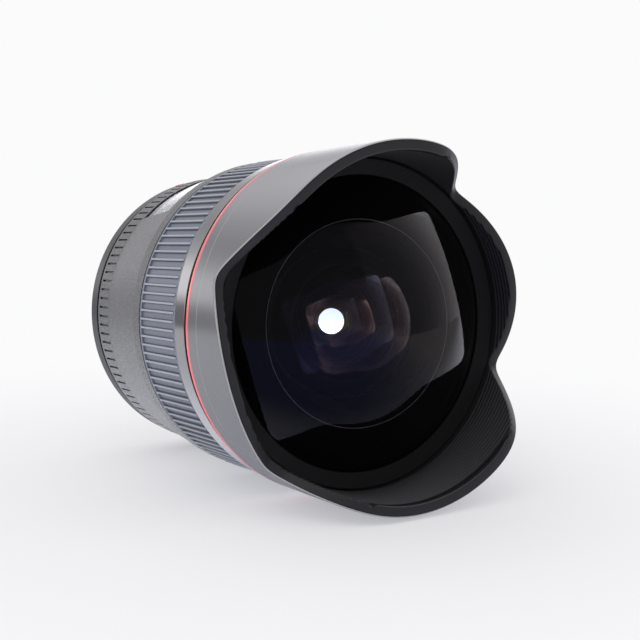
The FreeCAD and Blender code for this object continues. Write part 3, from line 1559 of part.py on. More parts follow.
def singlet(name, edge, rear, front, front_curve_of, back_curve_of):
    """One lens, domed at both ends."""
    turned(name, [
        (0, front, front_curve_of, 1),
        (edge, front - sag(front_curve_of, edge)),
        (edge, rear + sag(back_curve_of, edge), back_curve_of, 1),
        (0, rear),
    ])


def make_pairs():
    """Cemented pair at the rear of the front cell, and the four groups of the sliding cell."""
    back = fourth_edge * fourth_back_ratio
    curves = (fourth_edge * fourth_ratio, fourth_edge * fourth_joint_ratio, back)
    rear = fourth_seat - sag(back, fourth_lip) + seat_gap
    cemented_pair("front_pair", fourth_edge, rear, fourth_seat + fourth_high, curves)
    steep = cell_edge * steep_ratio
    middle = cell_edge * middle_ratio
    shallow = cell_edge * shallow_ratio
    curves = (steep, shallow, middle)
    cemented_pair("cell_pair_front", cell_edge, cell_pair_rear, cell_pair_front, curves)
    singlet("cell_single", cell_edge, single_rear, single_front, middle, shallow)
    curves = (middle, shallow, middle)
    cemented_pair("cell_pair_rear", cell_edge, rear_pair_rear, rear_pair_front, curves)
    singlet("cell_last", cell_edge_rear, last_rear, last_front, shallow, shallow)


def make_cell():
    """Sliding rear cell and the three studs that run in the guide and cam slots."""
    outer = guide_inner - running_gap
    bore = cell_edge + running_gap
    wide_bore = cell_edge_rear + running_gap
    shelf = cell_edge - cell_shelf
    step = last_front + seat_gap
    body = turned("focus_cell", [
        (wide_bore, cell_rear),
        (outer, cell_rear),
        (outer, cell_front),
        (bore, cell_front),
        (bore, step + cell_shelf),
        (shelf, step + cell_shelf),
        (shelf, step),
        (wide_bore, step),
    ])
    side_peg(
        body, "stud_seat", stud_ahead, stud_radius - running_gap, stud_floor,
        outer + core_wall, cut=True, count=GUIDE_COUNT,
    )
    studs = new_body("cell_studs")
    side_peg(
        studs, "stud", stud_ahead, stud_radius - running_gap, stud_floor, stud_top,
        count=GUIDE_COUNT,
    )


def make_board():
    """Curved main circuit board round the core, behind the motor."""
    board_gap = free_gap * 2
    inner = core_outer + board_gap
    rear = barrel_seat_front + core_flange_thick + seat_gap
    board = new_body("main_board")
    outline_points = [
        (inner, rear),
        (inner, motor_seat - free_gap),
        (inner + board_thick, motor_seat - free_gap),
        (inner + board_thick, rear),
    ]
    part_turned(board, "board", outline_points, board_angle)


def build():
    make_mount()
    make_rear_ring()
    make_contacts()
    make_baffle()
    make_main_barrel()
    make_switch()
    make_core()
    make_motor()
    make_drive()
    make_guide()
    make_iris_housing()
    make_blades()
    make_iris_ring()
    make_focus_ring()
    make_front_rings()
    make_hood()
    make_front_cell()
    make_front_glass()
    make_pairs()
    make_cell()
    make_board()


def write_parts():
    """Checks every object, then writes each sub-part to its own file."""
    doc.recompute()
    for item in doc.Objects:
        for state in item.State:
            if "Invalid" in state or "Error" in state:
                raise RuntimeError(f"{item.Label} is {state}")
    os.makedirs("parts", exist_ok=True)
    for part in sub_parts:
        shape = part.Shape
        if shape.isNull() or not shape.isValid() or not shape.Solids:
            raise RuntimeError(f"{part.Label} has no sound shape")
    for part in sub_parts:
        part.Shape.exportStep(f"parts/{part.Label}.step")


build()
write_parts()
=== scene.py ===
import math

import bmesh
import bpy
import numpy as np
from mathutils import Matrix, Vector


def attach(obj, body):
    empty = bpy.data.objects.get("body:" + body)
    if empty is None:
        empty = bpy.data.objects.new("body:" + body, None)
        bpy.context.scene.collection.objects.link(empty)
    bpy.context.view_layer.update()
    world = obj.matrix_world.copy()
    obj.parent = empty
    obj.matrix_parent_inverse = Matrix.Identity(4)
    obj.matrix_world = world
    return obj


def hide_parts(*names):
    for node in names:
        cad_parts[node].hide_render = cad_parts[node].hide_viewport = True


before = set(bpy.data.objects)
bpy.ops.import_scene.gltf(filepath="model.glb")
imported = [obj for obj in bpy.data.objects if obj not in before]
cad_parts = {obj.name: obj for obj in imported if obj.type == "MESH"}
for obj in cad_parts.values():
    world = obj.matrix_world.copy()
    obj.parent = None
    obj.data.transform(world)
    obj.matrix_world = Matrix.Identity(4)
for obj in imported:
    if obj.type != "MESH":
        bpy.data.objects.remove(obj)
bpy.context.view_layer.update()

# ---------------------------------------------------------------------------------------------
# The table and the camera. The lens lies on a white table and is rolled about its own axis, so
# the table's plane is tilted in the lens's frame. The camera looks at the front from the left.
MM = 0.001
PALE = (0.965, 0.965, 0.97)
level = Vector((0.25914, -0.04768, 0.96467)).normalized()


def corners_of(piece):
    places = np.empty(len(piece.data.vertices) * 3)
    piece.data.vertices.foreach_get("co", places)
    return places.reshape(-1, 3)


rest_height = min((corners_of(piece) @ np.array(level)).min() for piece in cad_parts.values())
table_across = (Vector((1, 0, 0)) - level * level.x).normalized()
table_away = level.cross(table_across)
TABLE_LEFT, TABLE_RIGHT = -0.45, 3.0
TABLE_NEAR, TABLE_FAR = -0.38, 4.0


def on_table(across, away):
    return level * rest_height + table_across * across + table_away * away


def flat_sheet(name, places):
    mesh = bpy.data.meshes.new(name)
    mesh.from_pydata([tuple(place) for place in places], [], [tuple(range(len(places)))])
    sheet = bpy.data.objects.new(name, mesh)
    bpy.context.scene.collection.objects.link(sheet)
    return sheet


def node(tree, kind, inputs=None, **settings):
    """Adds a node. Each input is given a value, or linked when it is given another's output."""
    made = tree.nodes.new(kind)
    for name, value in settings.items():
        setattr(made, name, value)
    for key, value in (inputs or {}).items():
        if isinstance(value, bpy.types.NodeSocket):
            tree.links.new(value, made.inputs[key])
        else:
            made.inputs[key].default_value = value
    return made


def calc(tree, operation, *values):
    """A sum of one step, as its output."""
    return node(tree, "ShaderNodeMath", dict(enumerate(values)), operation=operation).outputs[0]


def steer(tree, operation, *values):
    """A vector sum of one step: a number where it measures something, else a vector."""
    made = node(tree, "ShaderNodeVectorMath", dict(enumerate(values)), operation=operation)
    return made.outputs[1 if operation in ("DOT_PRODUCT", "LENGTH", "DISTANCE") else 0]


def eased(tree, value, low, high, first=0.0, last=1.0, slope="SMOOTHSTEP"):
    """first where the value is below low, last where it is above high, eased between them."""
    made = node(tree, "ShaderNodeMapRange", {
        "Value": value, "From Min": low, "From Max": high, "To Min": first, "To Max": last,
    }, interpolation_type=slope)
    return made.outputs[0]


def blended(tree, share, first, second):
    """A mix of two colours, each an output or a plain (red, green, blue)."""
    ends = [(*end, 1) if isinstance(end, tuple) else end for end in (first, second)]
    made = node(tree, "ShaderNodeMix", {0: share, 6: ends[0], 7: ends[1]}, data_type="RGBA")
    return made.outputs[2]


def object_place(tree):
    return node(tree, "ShaderNodeTexCoord").outputs["Object"]


def parts_of(tree, vector):
    """A vector's X, Y and Z."""
    return node(tree, "ShaderNodeSeparateXYZ", {0: vector}).outputs


MANY_FACES = 9.5


def ray_kinds(tree):
    """The ray's outputs, what is 1 for mirrors and lenses, and what is 1 for a ray that has
    crossed the faces of the whole lens."""
    rays = node(tree, "ShaderNodeLightPath").outputs
    seen = calc(tree, "MAXIMUM", rays["Is Glossy Ray"], rays["Is Transmission Ray"])
    return rays, seen, calc(tree, "GREATER_THAN", rays["Transmission Depth"], MANY_FACES)


table = flat_sheet("table", [
    on_table(TABLE_LEFT, TABLE_NEAR), on_table(TABLE_RIGHT, TABLE_NEAR),
    on_table(TABLE_RIGHT, TABLE_FAR), on_table(TABLE_LEFT, TABLE_FAR),
])
table_white = bpy.data.materials.new("table_white")
table_white.use_nodes = True
tree = table_white.node_tree
tree.nodes.clear()
rays, seen, whole_lens = ray_kinds(tree)
place = object_place(tree)
along = parts_of(tree, place)
# What the glass and the paint mirror of the table: dark blue to grey before the lens, white
# behind it, and grey far off.
BLUE_LEFT, GREY_RIGHT = (0.10, 0.11, 0.25), (0.40, 0.38, 0.40)
WHITE_BEHIND, GREY_FAR = (0.94, 0.96, 1.08), (0.33, 0.34, 0.39)
RIGHTWARDS, BLUE_UP_TO, GREY_FROM = (1.0, 0.577, 0.0), -0.09, 0.03
BEFORE_UP_TO, BEHIND_FROM = -0.11, -0.06
WHITE_UP_TO, FAR_FROM = 0.24, 0.36
to_right = steer(tree, "DOT_PRODUCT", place, RIGHTWARDS)
before = blended(tree, eased(tree, to_right, BLUE_UP_TO, GREY_FROM), BLUE_LEFT, GREY_RIGHT)
few_faces = calc(tree, "SUBTRACT", 1.0, whole_lens)
far_off = calc(tree, "MULTIPLY", eased(tree, along["Y"], WHITE_UP_TO, FAR_FROM), few_faces)
is_behind = eased(tree, along["Y"], BEFORE_UP_TO, BEHIND_FROM)
mirrored = blended(tree, is_behind, before, blended(tree, far_off, WHITE_BEHIND, GREY_FAR))
colour = blended(tree, seen, PALE, mirrored)
# The paper is matt near the lens, where it takes the shadow, and plain white further off. It
# also glows, which is painted light: the glow lightens the shadow and tints it blue, it is
# stronger for bounced light, and five times stronger behind the lens where it is seen through all
# its glass.
WARM, COOL = (1.02, 1.015, 0.975), (0.96, 0.965, 1.025)
SHADOW_HEART, SHADOW_NEAR, SHADOW_FAR = (-0.01, -0.04, 0.0), 0.045, 0.20
GLOW_NEAR, GLOW_MIRRORED, GLOW_THROUGH, GLOW_BOUNCED = 0.42, 0.15, 5.0, 0.3
matt = node(tree, "ShaderNodeBsdfDiffuse", {"Color": steer(tree, "MULTIPLY", colour, WARM)})
shadow_glow_blue = steer(tree, "MULTIPLY", colour, COOL)
from_heart = steer(tree, "DISTANCE", place, SHADOW_HEART)
open_floor = eased(tree, from_heart, SHADOW_NEAR, SHADOW_FAR)
bounce = calc(tree, "MULTIPLY_ADD", rays["Is Diffuse Ray"], GLOW_BOUNCED, 1.0)
through = calc(tree, "MULTIPLY", is_behind, whole_lens)
glow = node(tree, "ShaderNodeEmission", {
    "Color": blended(tree, open_floor, shadow_glow_blue, colour),
    "Strength": calc(tree, "MULTIPLY_ADD", through, GLOW_THROUGH, bounce),
})
whiter = eased(tree, open_floor, 0.0, 1.0, GLOW_NEAR, 1.0, "LINEAR")
share = node(tree, "ShaderNodeMix", {0: seen, 2: whiter, 3: GLOW_MIRRORED})
paper = node(tree, "ShaderNodeMixShader", {
    0: share.outputs[0], 1: matt.outputs[0], 2: glow.outputs[0],
})
below = node(tree, "ShaderNodeBsdfTransparent")
facing = node(tree, "ShaderNodeNewGeometry")
sided = node(tree, "ShaderNodeMixShader", {
    0: facing.outputs["Backfacing"], 1: paper.outputs[0], 2: below.outputs[0],
})
node(tree, "ShaderNodeOutputMaterial", {"Surface": sided.outputs[0]})
table.data.materials.append(table_white)

camera = bpy.data.objects.new("camera", bpy.data.cameras.new("camera"))
camera_right = Vector((0.80422, -0.54245, -0.24285))
camera_up = Vector((0.32239, 0.05489, 0.94502))
camera_back = Vector((-0.49929, -0.83829, 0.21902))
camera_place = Vector((-0.141307, -0.294740, 0.061970))
turned_to = Matrix((camera_right, camera_up, camera_back)).transposed().to_4x4()
camera.matrix_world = Matrix.Translation(camera_place) @ turned_to
camera.data.lens = 67.5
camera.data.sensor_width = 36
camera.data.clip_start = 0.01
bpy.context.scene.collection.objects.link(camera)
bpy.context.scene.camera = camera

# ---------------------------------------------------------------------------------------------
# The room. Even white light falls from all sides. What mirrors and lenses see of it is white
# behind the lens and dark before it, and a tall lit panel stands at the right.
scene = bpy.context.scene
scene.view_settings.view_transform = "Standard"
scene.cycles.max_bounces = 32
scene.cycles.transmission_bounces = 32
scene.cycles.glossy_bounces = 8
room = bpy.data.worlds.new("room")
scene.world = room
room.use_nodes = True
tree = room.node_tree
tree.nodes.clear()
rays, seen, whole_lens = ray_kinds(tree)
heading = node(tree, "ShaderNodeTexCoord").outputs["Generated"]
# The wall's shade at each height, from below the table to overhead.
WALL_SHADES = ((0.10, 0.35), (0.17, 1.6), (0.27, 1.6), (0.34, 0.85), (0.42, 0.50), (0.60, 1.25))
WALL_BLUE, WALL_THROUGH, DARK_FRONT = 1.05, (3.2, 3.2, 3.2), (0.085, 0.080, 0.090)
LIGHT_LEFT, LIGHT_RIGHT = (1.06, 1.06, 1.07), (0.72, 0.72, 0.73)
RIGHT_OF_ROOM, LEFT_UP_TO, RIGHT_FROM = (0.86, -0.51, 0.0), -0.1, 0.6
WALL_LOW, WALL_HIGH, FRONT_UP_TO, BACK_FROM = -0.1, 0.9, -0.45, -0.05
high = steer(tree, "DOT_PRODUCT", heading, tuple(level))
wall = node(tree, "ShaderNodeValToRGB", {
    0: eased(tree, high, WALL_LOW, WALL_HIGH, slope="LINEAR"),
})
shades = wall.color_ramp.elements
for index, (stop, shade) in enumerate(WALL_SHADES):
    if index > 1:
        shades.new(stop)
    shades[index].position = stop
    shades[index].color = (shade, shade, shade * WALL_BLUE, 1)
back_room = blended(tree, whole_lens, wall.outputs[0], WALL_THROUGH)
to_back = eased(tree, parts_of(tree, heading)["Y"], FRONT_UP_TO, BACK_FROM)
mirrored = blended(tree, to_back, DARK_FRONT, back_room)
to_right = steer(tree, "DOT_PRODUCT", heading, RIGHT_OF_ROOM)
soft_light = blended(tree, eased(tree, to_right, LEFT_UP_TO, RIGHT_FROM), LIGHT_LEFT, LIGHT_RIGHT)
plain = blended(tree, rays["Is Camera Ray"], soft_light, PALE)
sky = node(tree, "ShaderNodeBackground", {
    "Color": blended(tree, seen, plain, mirrored), "Strength": 1.0,
})
node(tree, "ShaderNodeOutputWorld", {"Surface": sky.outputs[0]})

PANEL_DIM, PANEL_BRIGHT = (0.14, 0.13, 0.15), (0.86, 0.82, 0.84)
DIM_UP_TO, BRIGHT_FROM = 0.20, 0.74
LEFT_HEADING, LEFT_AWAY = Vector((0.43, -0.645, 0.632)), 0.466
RIGHT_HEADING, RIGHT_AWAY = Vector((0.977, -0.006, 0.215)), 0.76
dome_centre = Vector((0, -0.087, 0))
panel_left = dome_centre + LEFT_HEADING * LEFT_AWAY
panel_right = dome_centre + RIGHT_HEADING * RIGHT_AWAY


def foot_of(place):
    return place - level * (place.dot(level) - rest_height)


panel = flat_sheet("lit_panel", [
    panel_left, foot_of(panel_left), foot_of(panel_right), panel_right,
])
panel_light = bpy.data.materials.new("panel_light")
panel_light.use_nodes = True
tree = panel_light.node_tree
tree.nodes.clear()
along = parts_of(tree, object_place(tree))
to_right = eased(tree, along["X"], DIM_UP_TO, BRIGHT_FROM)
lamp = node(tree, "ShaderNodeEmission", {
    "Color": blended(tree, to_right, PANEL_DIM, PANEL_BRIGHT), "Strength": 1.0,
})
node(tree, "ShaderNodeOutputMaterial", {"Surface": lamp.outputs[0]})
panel.data.materials.append(panel_light)
panel.visible_camera = False
panel.visible_diffuse = False
panel.visible_shadow = False

# ---------------------------------------------------------------------------------------------
# Bayonet mount: a turned brass flange with its spigot and three tabs, plated with dull chrome,
# and the steel screws that hold it. The dust seal behind it is a thin lip of black rubber.


def scaled(tree, vector, amount):
    made = node(tree, "ShaderNodeVectorMath", {0: vector, "Scale": amount}, operation="SCALE")
    return made.outputs[0]


def group_of(name, kind, inputs, outputs):
    """An empty node group with named inputs (type, first value) and outputs."""
    tree = bpy.data.node_groups.new(name, kind)
    for label, (socket_kind, value) in inputs.items():
        made = tree.interface.new_socket(name=label, in_out="INPUT", socket_type=socket_kind)
        if value is not None:
            made.default_value = value
    for label, socket_kind in outputs.items():
        tree.interface.new_socket(name=label, in_out="OUTPUT", socket_type=socket_kind)
    return tree, tree.nodes.new("NodeGroupInput").outputs


grain, given = group_of("grain", "ShaderNodeTree", {
    "Place": ("NodeSocketVector", None), "Colour": ("NodeSocketColor", (0.5, 0.5, 0.5, 1)),
    "Roughness": ("NodeSocketFloat", 0.5), "Size": ("NodeSocketFloat", 0.0003),
    "Depth": ("NodeSocketFloat", 0.00001), "Mottle": ("NodeSocketFloat", 0.1),
    "Speck": ("NodeSocketFloat", 0.0),
}, {"Colour": "NodeSocketColor", "Roughness": "NodeSocketFloat", "Normal": "NodeSocketVector"})
CLOUD_SCALE = 90.0
close = scaled(grain, given["Place"], calc(grain, "DIVIDE", 1.0, given["Size"]))
specks = node(grain, "ShaderNodeTexNoise", {
    "Vector": close, "Scale": 1.0, "Detail": 2.0,
}).outputs[0]
raised = node(grain, "ShaderNodeBump", {
    "Strength": 1.0, "Distance": given["Depth"], "Height": specks,
})
clouds = node(grain, "ShaderNodeTexNoise", {
    "Vector": given["Place"], "Scale": CLOUD_SCALE, "Detail": 4.0,
}).outputs[0]
uneven = calc(grain, "MULTIPLY", calc(grain, "SUBTRACT", clouds, 0.5), given["Mottle"])
specked = calc(grain, "MULTIPLY", calc(grain, "SUBTRACT", specks, 0.5), given["Speck"])
shade = calc(grain, "ADD", calc(grain, "ADD", uneven, specked), 1.0)
node(grain, "NodeGroupOutput", {
    "Colour": scaled(grain, given["Colour"], shade),
    "Roughness": calc(grain, "ADD", given["Roughness"], uneven), "Normal": raised.outputs[0],
})


def finish(name, colour, roughness, size=0.3, depth=0.004, mottle=0.08, speck=0.0, **sockets):
    """A material whose colour, roughness and fine grain (in mm) vary over the surface."""
    material = bpy.data.materials.new(name)
    material.use_nodes = True
    tree = material.node_tree
    shader = tree.nodes["Principled BSDF"]
    place = node(tree, "ShaderNodeTexCoord")
    skin = node(tree, "ShaderNodeGroup", node_tree=grain)
    tree.links.new(place.outputs["Object"], skin.inputs["Place"])
    skin.inputs["Colour"].default_value = (*colour, 1)
    for label, value in {
        "Roughness": roughness, "Size": size * MM, "Depth": depth * MM, "Mottle": mottle,
        "Speck": speck,
    }.items():
        skin.inputs[label].default_value = value
    tree.links.new(skin.outputs["Colour"], shader.inputs["Base Color"])
    tree.links.new(skin.outputs["Roughness"], shader.inputs["Roughness"])
    tree.links.new(skin.outputs["Normal"], shader.inputs["Normal"])
    for label, value in sockets.items():
        shader.inputs[label.replace("_", " ")].default_value = value
    return material


def dress(names, material):
    """Gives CAD nodes their finish."""
    for name in names.split():
        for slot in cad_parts[name].material_slots:
            slot.material = material


mount_metal = finish(
    "dull_chrome", (0.62, 0.61, 0.59), 0.30, size=0.12, depth=0.002, mottle=0.02, Metallic=1.0,
)
screw_steel = finish("screw_steel", (0.34, 0.34, 0.35), 0.3, size=0.2, depth=0.002, Metallic=1.0)
seal_rubber = finish("seal_rubber", (0.018, 0.018, 0.019), 0.6, size=0.2, depth=0.006)
dress("bayonet_mount", mount_metal)
dress("mount_screws contact_screws core_screws iris_screws hood_screws", screw_steel)
dress("mount_seal", seal_rubber)

# ---------------------------------------------------------------------------------------------
# Rear ring beside the mount: a turned ring of hard black plastic with a rounded rear edge. A
# red index dot is pressed into it. It stays with the barrel.


def rounded(corners, steps=4, hold=0.06):
    """The points of a closed outline of (radius, ahead, fillet) corners, in mm."""
    points = []
    for index, (radius, ahead, fillet) in enumerate(corners):
        here = Vector((radius, ahead))
        into = (here - Vector(corners[index - 1][:2])).normalized()
        out = (Vector(corners[(index + 1) % len(corners)][:2]) - here).normalized()
        turn = math.atan2(into.x * out.y - into.y * out.x, into.dot(out))
        if not fillet or abs(turn) < 0.01:
            points.append(here)
            continue
        cut = fillet * math.tan(abs(turn) / 2)
        start = here - into * cut
        centre = start + Vector((-into.y, into.x)) * math.copysign(fillet, turn)
        points.append(start - into * hold)
        for step in range(steps + 1):
            swing = Matrix.Rotation(turn * step / steps, 2)
            points.append(centre + swing @ (start - centre))
        points.append(here + out * (cut + hold))
    return points


def shell(name, places, faces, sharp=32):
    """An object from points in metres, with its doubles merged and its faces outwards."""
    mesh = bpy.data.meshes.new(name)
    mesh.from_pydata(places, [], faces)
    clean(mesh, sharp)
    piece = bpy.data.objects.new(name, mesh)
    bpy.context.scene.collection.objects.link(piece)
    return piece


def clean(mesh, sharp):
    work = bmesh.new()
    work.from_mesh(mesh)
    bmesh.ops.remove_doubles(work, verts=work.verts, dist=0.000002)
    bmesh.ops.dissolve_degenerate(work, edges=work.edges, dist=0.000001)
    bmesh.ops.recalc_face_normals(work, faces=work.faces)
    work.to_mesh(mesh)
    work.free()
    mesh.shade_smooth()
    mesh.set_sharp_from_angle(angle=math.radians(sharp))


def turned(name, points, closed=True, steps=256):
    """Points (radius, ahead) in mm, turned about the lens's axis."""
    radius, ahead = np.array([tuple(point) for point in points]).T * MM
    angle = np.linspace(0, 2 * math.pi, steps, endpoint=False)[:, None]
    places = np.stack([
        np.cos(angle) * radius, -ahead + 0 * angle, np.sin(angle) * radius,
    ], axis=-1).reshape(-1, 3)
    count = len(radius)
    faces = []
    for column in range(steps):
        here, there = column * count, (column + 1) % steps * count
        for low in range(count if closed else count - 1):
            high = (low + 1) % count
            faces.append((here + low, here + high, there + high, there + low))
    return shell(name, places.tolist(), faces)


def fit(piece, material, body, slot, *stands_for):
    """Gives a new piece its finish and its body, and hides the CAD nodes that it stands for.
    The slot is not used.
    """
    piece.data.materials.clear()
    piece.data.materials.append(material)
    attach(piece, body)
    if stands_for:
        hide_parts(*stands_for)
    return piece


RING_BORE, RING_POCKET, RING_OUTSIDE = 24.6, 31.0, 34.9
RING_REAR, POCKET_FLOOR, RING_FRONT = 2.0, 4.4, 6.4
FACES_AHEAD = -0.6
dark_plastic = finish("dark_plastic", (0.022, 0.022, 0.024), 0.36, size=0.25, depth=0.004)
rear_ring = turned("rear_ring_turned", rounded([
    (RING_BORE, RING_REAR, 0.1), (RING_OUTSIDE, RING_REAR, 1.0), (RING_OUTSIDE, RING_FRONT, 0.35),
    (RING_POCKET, RING_FRONT, 0.1), (RING_POCKET, POCKET_FLOOR, 0.1),
    (RING_BORE, POCKET_FLOOR, 0.1),
]))
fit(rear_ring, dark_plastic, "barrel", "dark_plastic", "rear_ring")
shade_black = finish(
    "shade_black", (0.004, 0.004, 0.0045), 0.7, size=0.2, depth=0.002, Specular_IOR_Level=0.1,
)
rear_ring.data.materials.append(shade_black)
# Its front face lies deep in the gap before the barrel, and is painted near black there as painted
# shade.
for face in rear_ring.data.polygons:
    if face.normal.y < FACES_AHEAD and face.center.y < (0.4 - RING_FRONT) * MM:
        face.material_index = 1
dress("index_dot", finish("red_plastic", (0.5, 0.012, 0.014), 0.3, size=0.2, depth=0.002))

# ---------------------------------------------------------------------------------------------
# Contacts, rear baffle and filter holder: a moulded black block with eight gold plated pins,
# a moulded baffle round the rectangle of light, and a stamped black frame for sheet filters.
inner_black = finish(
    "inner_black", (0.004, 0.004, 0.0045), 0.6, size=0.25, depth=0.006, Specular_IOR_Level=0.2,
)
contact_gold = finish(
    "contact_gold", (0.80, 0.56, 0.22), 0.22, size=0.1, depth=0.001, Metallic=1.0,
)
dress("contact_block rear_baffle iris_base iris_cover iris_ring", dark_plastic)
dress("contact_pins", contact_gold)
dress("filter_holder barrel_core focus_ring front_cell focus_cell", inner_black)

# ---------------------------------------------------------------------------------------------
# Main barrel: an aluminium casting, turned and coated with a thick crinkle paint. Short slots
# round its rear give a grip when the lens is changed. It is screwed to the barrel core.
SLOT_FLOOR, SKIN_RADIUS, SLOT_END, NECK_END = 35.00, 35.20, 15.0, 7.1
LOW_PAINTED_LIGHT, HIGH_PAINTED_SHADE, TONE_LOW_AT, TONE_HIGH_AT = (3.2, 3.2, 3.2), (0.74, 0.74, 0.74), -30.0, 18.0
SLOT_PAINTED_SHADE, NECK_PAINTED_SHADE = (0.026, 0.026, 0.028), (0.008, 0.008, 0.009)
barrel_paint = finish(
    "crinkle_paint", (0.100, 0.100, 0.103), 0.42, size=0.42, depth=0.11, mottle=0.12, speck=3.0,
    IOR=1.75,
)


def base_colour(material):
    return material.node_tree.nodes["Principled BSDF"].inputs["Base Color"]


def from_axis(tree, place):
    """The distance from the lens's axis."""
    return steer(tree, "LENGTH", steer(tree, "MULTIPLY", place, (1.0, 0.0, 1.0)))


# The paint covers the lands between the slots. The slots' floors and the neck are painted dark as
# painted shade. Low down the paint is painted much paler as painted light from the table, and on
# top a little darker as painted shade.
tree = barrel_paint.node_tree
place = object_place(tree)
along = parts_of(tree, place)
on_land = eased(tree, from_axis(tree, place), SLOT_FLOOR * MM, SKIN_RADIUS * MM)
past_slots = eased(tree, along["Y"], (0.2 - SLOT_END) * MM, (-0.2 - SLOT_END) * MM)
in_neck = eased(tree, along["Y"], (-0.3 - NECK_END) * MM, (0.3 - NECK_END) * MM)
painted_light_upwards = eased(tree, along["Z"], TONE_LOW_AT * MM, TONE_HIGH_AT * MM)
skin = base_colour(barrel_paint).links[0].from_socket
with_painted_light = steer(tree, "MULTIPLY", skin, blended(tree, painted_light_upwards, LOW_PAINTED_LIGHT, HIGH_PAINTED_SHADE))
in_shade = blended(tree, in_neck, SLOT_PAINTED_SHADE, NECK_PAINTED_SHADE)
painted = blended(tree, calc(tree, "MAXIMUM", on_land, past_slots), in_shade, with_painted_light)
tree.links.new(painted, base_colour(barrel_paint))
dress("main_barrel", barrel_paint)

# Step line: a half-round bead in the barrel's step groove. Its paint is lighter than the barrel's:
# a painted highlight along the shoulder.
BEAD_REAR, BEAD_FRONT, BEAD_FOOT, BEAD_TOP = 35.32, 35.73, 37.2, 38.0
step_line = turned("step_line", rounded([
    (BEAD_FOOT, BEAD_REAR, 0.05), (BEAD_TOP, BEAD_REAR, 0.18), (BEAD_TOP, BEAD_FRONT, 0.18),
    (BEAD_FOOT, BEAD_FRONT, 0.05),
]))
step_painted_highlight = finish(
    "step_line_satin", (0.22, 0.22, 0.225), 0.22, size=0.2, depth=0.002, IOR=2.2,
)
fit(step_line, step_painted_highlight, "barrel", "barrel_paint")

# ---------------------------------------------------------------------------------------------
# Distance window: a clear moulded pane, sunk into the barrel, over the painted scale ring. The
# ring turns with the focus drive, and its three rows of short white marks are printed.
pane = bpy.data.materials.new("window_clear")
pane.use_nodes = True
shader = pane.node_tree.nodes["Principled BSDF"]
shader.inputs["Roughness"].default_value = 0.03
shader.inputs["IOR"].default_value = 1.10
shader.inputs["Base Color"].default_value = (1, 1, 1, 1)
shader.inputs["Specular Tint"].default_value = (0.45, 0.45, 0.47, 1)
shader.inputs["Transmission Weight"].default_value = 1.0
dress("scale_window", pane)

SCALE_FIRST, SCALE_LAST, MARK_ROWS, MARK_HALF_GAP = 16.5, 29.5, 4.0, 1.4
MARK_TURN, MARK_HALF_TURN, MARK_WHITE = math.radians(7.5), 0.009, (0.80, 0.82, 0.80)
scale_paint = finish("scale_paint", (0.012, 0.012, 0.013), 0.5, size=0.3, depth=0.003)


def ahead_of(tree, along, first, last):
    """The distance in mm ahead of the first place, and what is 1 from there to the last."""
    ahead = calc(tree, "MULTIPLY_ADD", along["Y"], -1 / MM, -first)
    within = calc(
        tree, "MULTIPLY", calc(tree, "GREATER_THAN", ahead, 0.0),
        calc(tree, "LESS_THAN", ahead, last - first),
    )
    return ahead, within


tree = scale_paint.node_tree
along = parts_of(tree, object_place(tree))
round_axis = calc(tree, "ARCTAN2", along["X"], along["Z"])
ahead, within = ahead_of(tree, along, SCALE_FIRST, SCALE_LAST)
narrow = calc(
    tree, "LESS_THAN", calc(tree, "PINGPONG", round_axis, MARK_TURN / 2), MARK_HALF_TURN,
)
short = calc(tree, "GREATER_THAN", calc(tree, "PINGPONG", ahead, MARK_ROWS / 2), MARK_HALF_GAP)
printed = calc(tree, "MULTIPLY", calc(tree, "MULTIPLY", narrow, short), within)
skin = base_colour(scale_paint).links[0].from_socket
tree.links.new(blended(tree, printed, skin, MARK_WHITE), base_colour(scale_paint))
dress("distance_scale", scale_paint)

# ---------------------------------------------------------------------------------------------
# Focus mode switch: a moulded plate of satin black plastic, set into a well in the barrel's
# side, and a ribbed knob of hard black plastic that slides in the plate's slot.
satin_black = finish(
    "satin_black", (0.030, 0.030, 0.032), 0.34, size=0.25, depth=0.003, mottle=0.04,
)
dress("switch_plate", satin_black)
dress("switch_knob", dark_plastic)

# ---------------------------------------------------------------------------------------------
# Ring motor, focus drive, guide and cam: turned aluminium, a brass stator, steel rollers and
# spring washer. They lie inside the barrel between the core and the focus ring's skirt.
bare_alloy = finish("bare_alloy", (0.52, 0.52, 0.54), 0.34, size=0.2, depth=0.002, Metallic=1.0)
motor_brass = finish("motor_brass", (0.62, 0.44, 0.20), 0.32, size=0.2, depth=0.002, Metallic=1.0)
dress("motor_base motor_rotor output_ring cam_ring guide_barrel rear_support", bare_alloy)
dress("motor_stator cell_studs", motor_brass)
dress("motor_spring drive_rollers", screw_steel)
dress("main_board", finish("board_green", (0.012, 0.10, 0.045), 0.4, size=0.4, depth=0.003))

# ---------------------------------------------------------------------------------------------
# Iris blades: six leaves of thin spring steel, blackened. Each turns on its own pin in the iris
# base, and a second pin follows a curved slot in the iris ring.
blade_black = finish("blade_black", (0.012, 0.012, 0.013), 0.45, size=0.2, depth=0.002)
dress(" ".join(f"iris_blade_{number}" for number in range(1, 7)), blade_black)

# ---------------------------------------------------------------------------------------------
# Light stop: a thin turned ring in the iris cover's bore, whose sharp edge bounds the light. It
# is pressed in. Its yellow is a painted reflection: it stands for the amber ghost round the
# opening.
STOP_RADIUS, STOP_SEAT = 5.35, 6.62
stop_ring = turned("light_stop", [
    (STOP_SEAT, 39.25), (STOP_SEAT, 39.75), (STOP_RADIUS, 39.55), (STOP_RADIUS, 39.45),
], steps=128)
stop_ghost_yellow = finish("stop_ghost_yellow", (0.85, 0.66, 0.12), 0.5, size=0.2, depth=0.002)
fit(stop_ring, stop_ghost_yellow, "barrel", "blade_black")

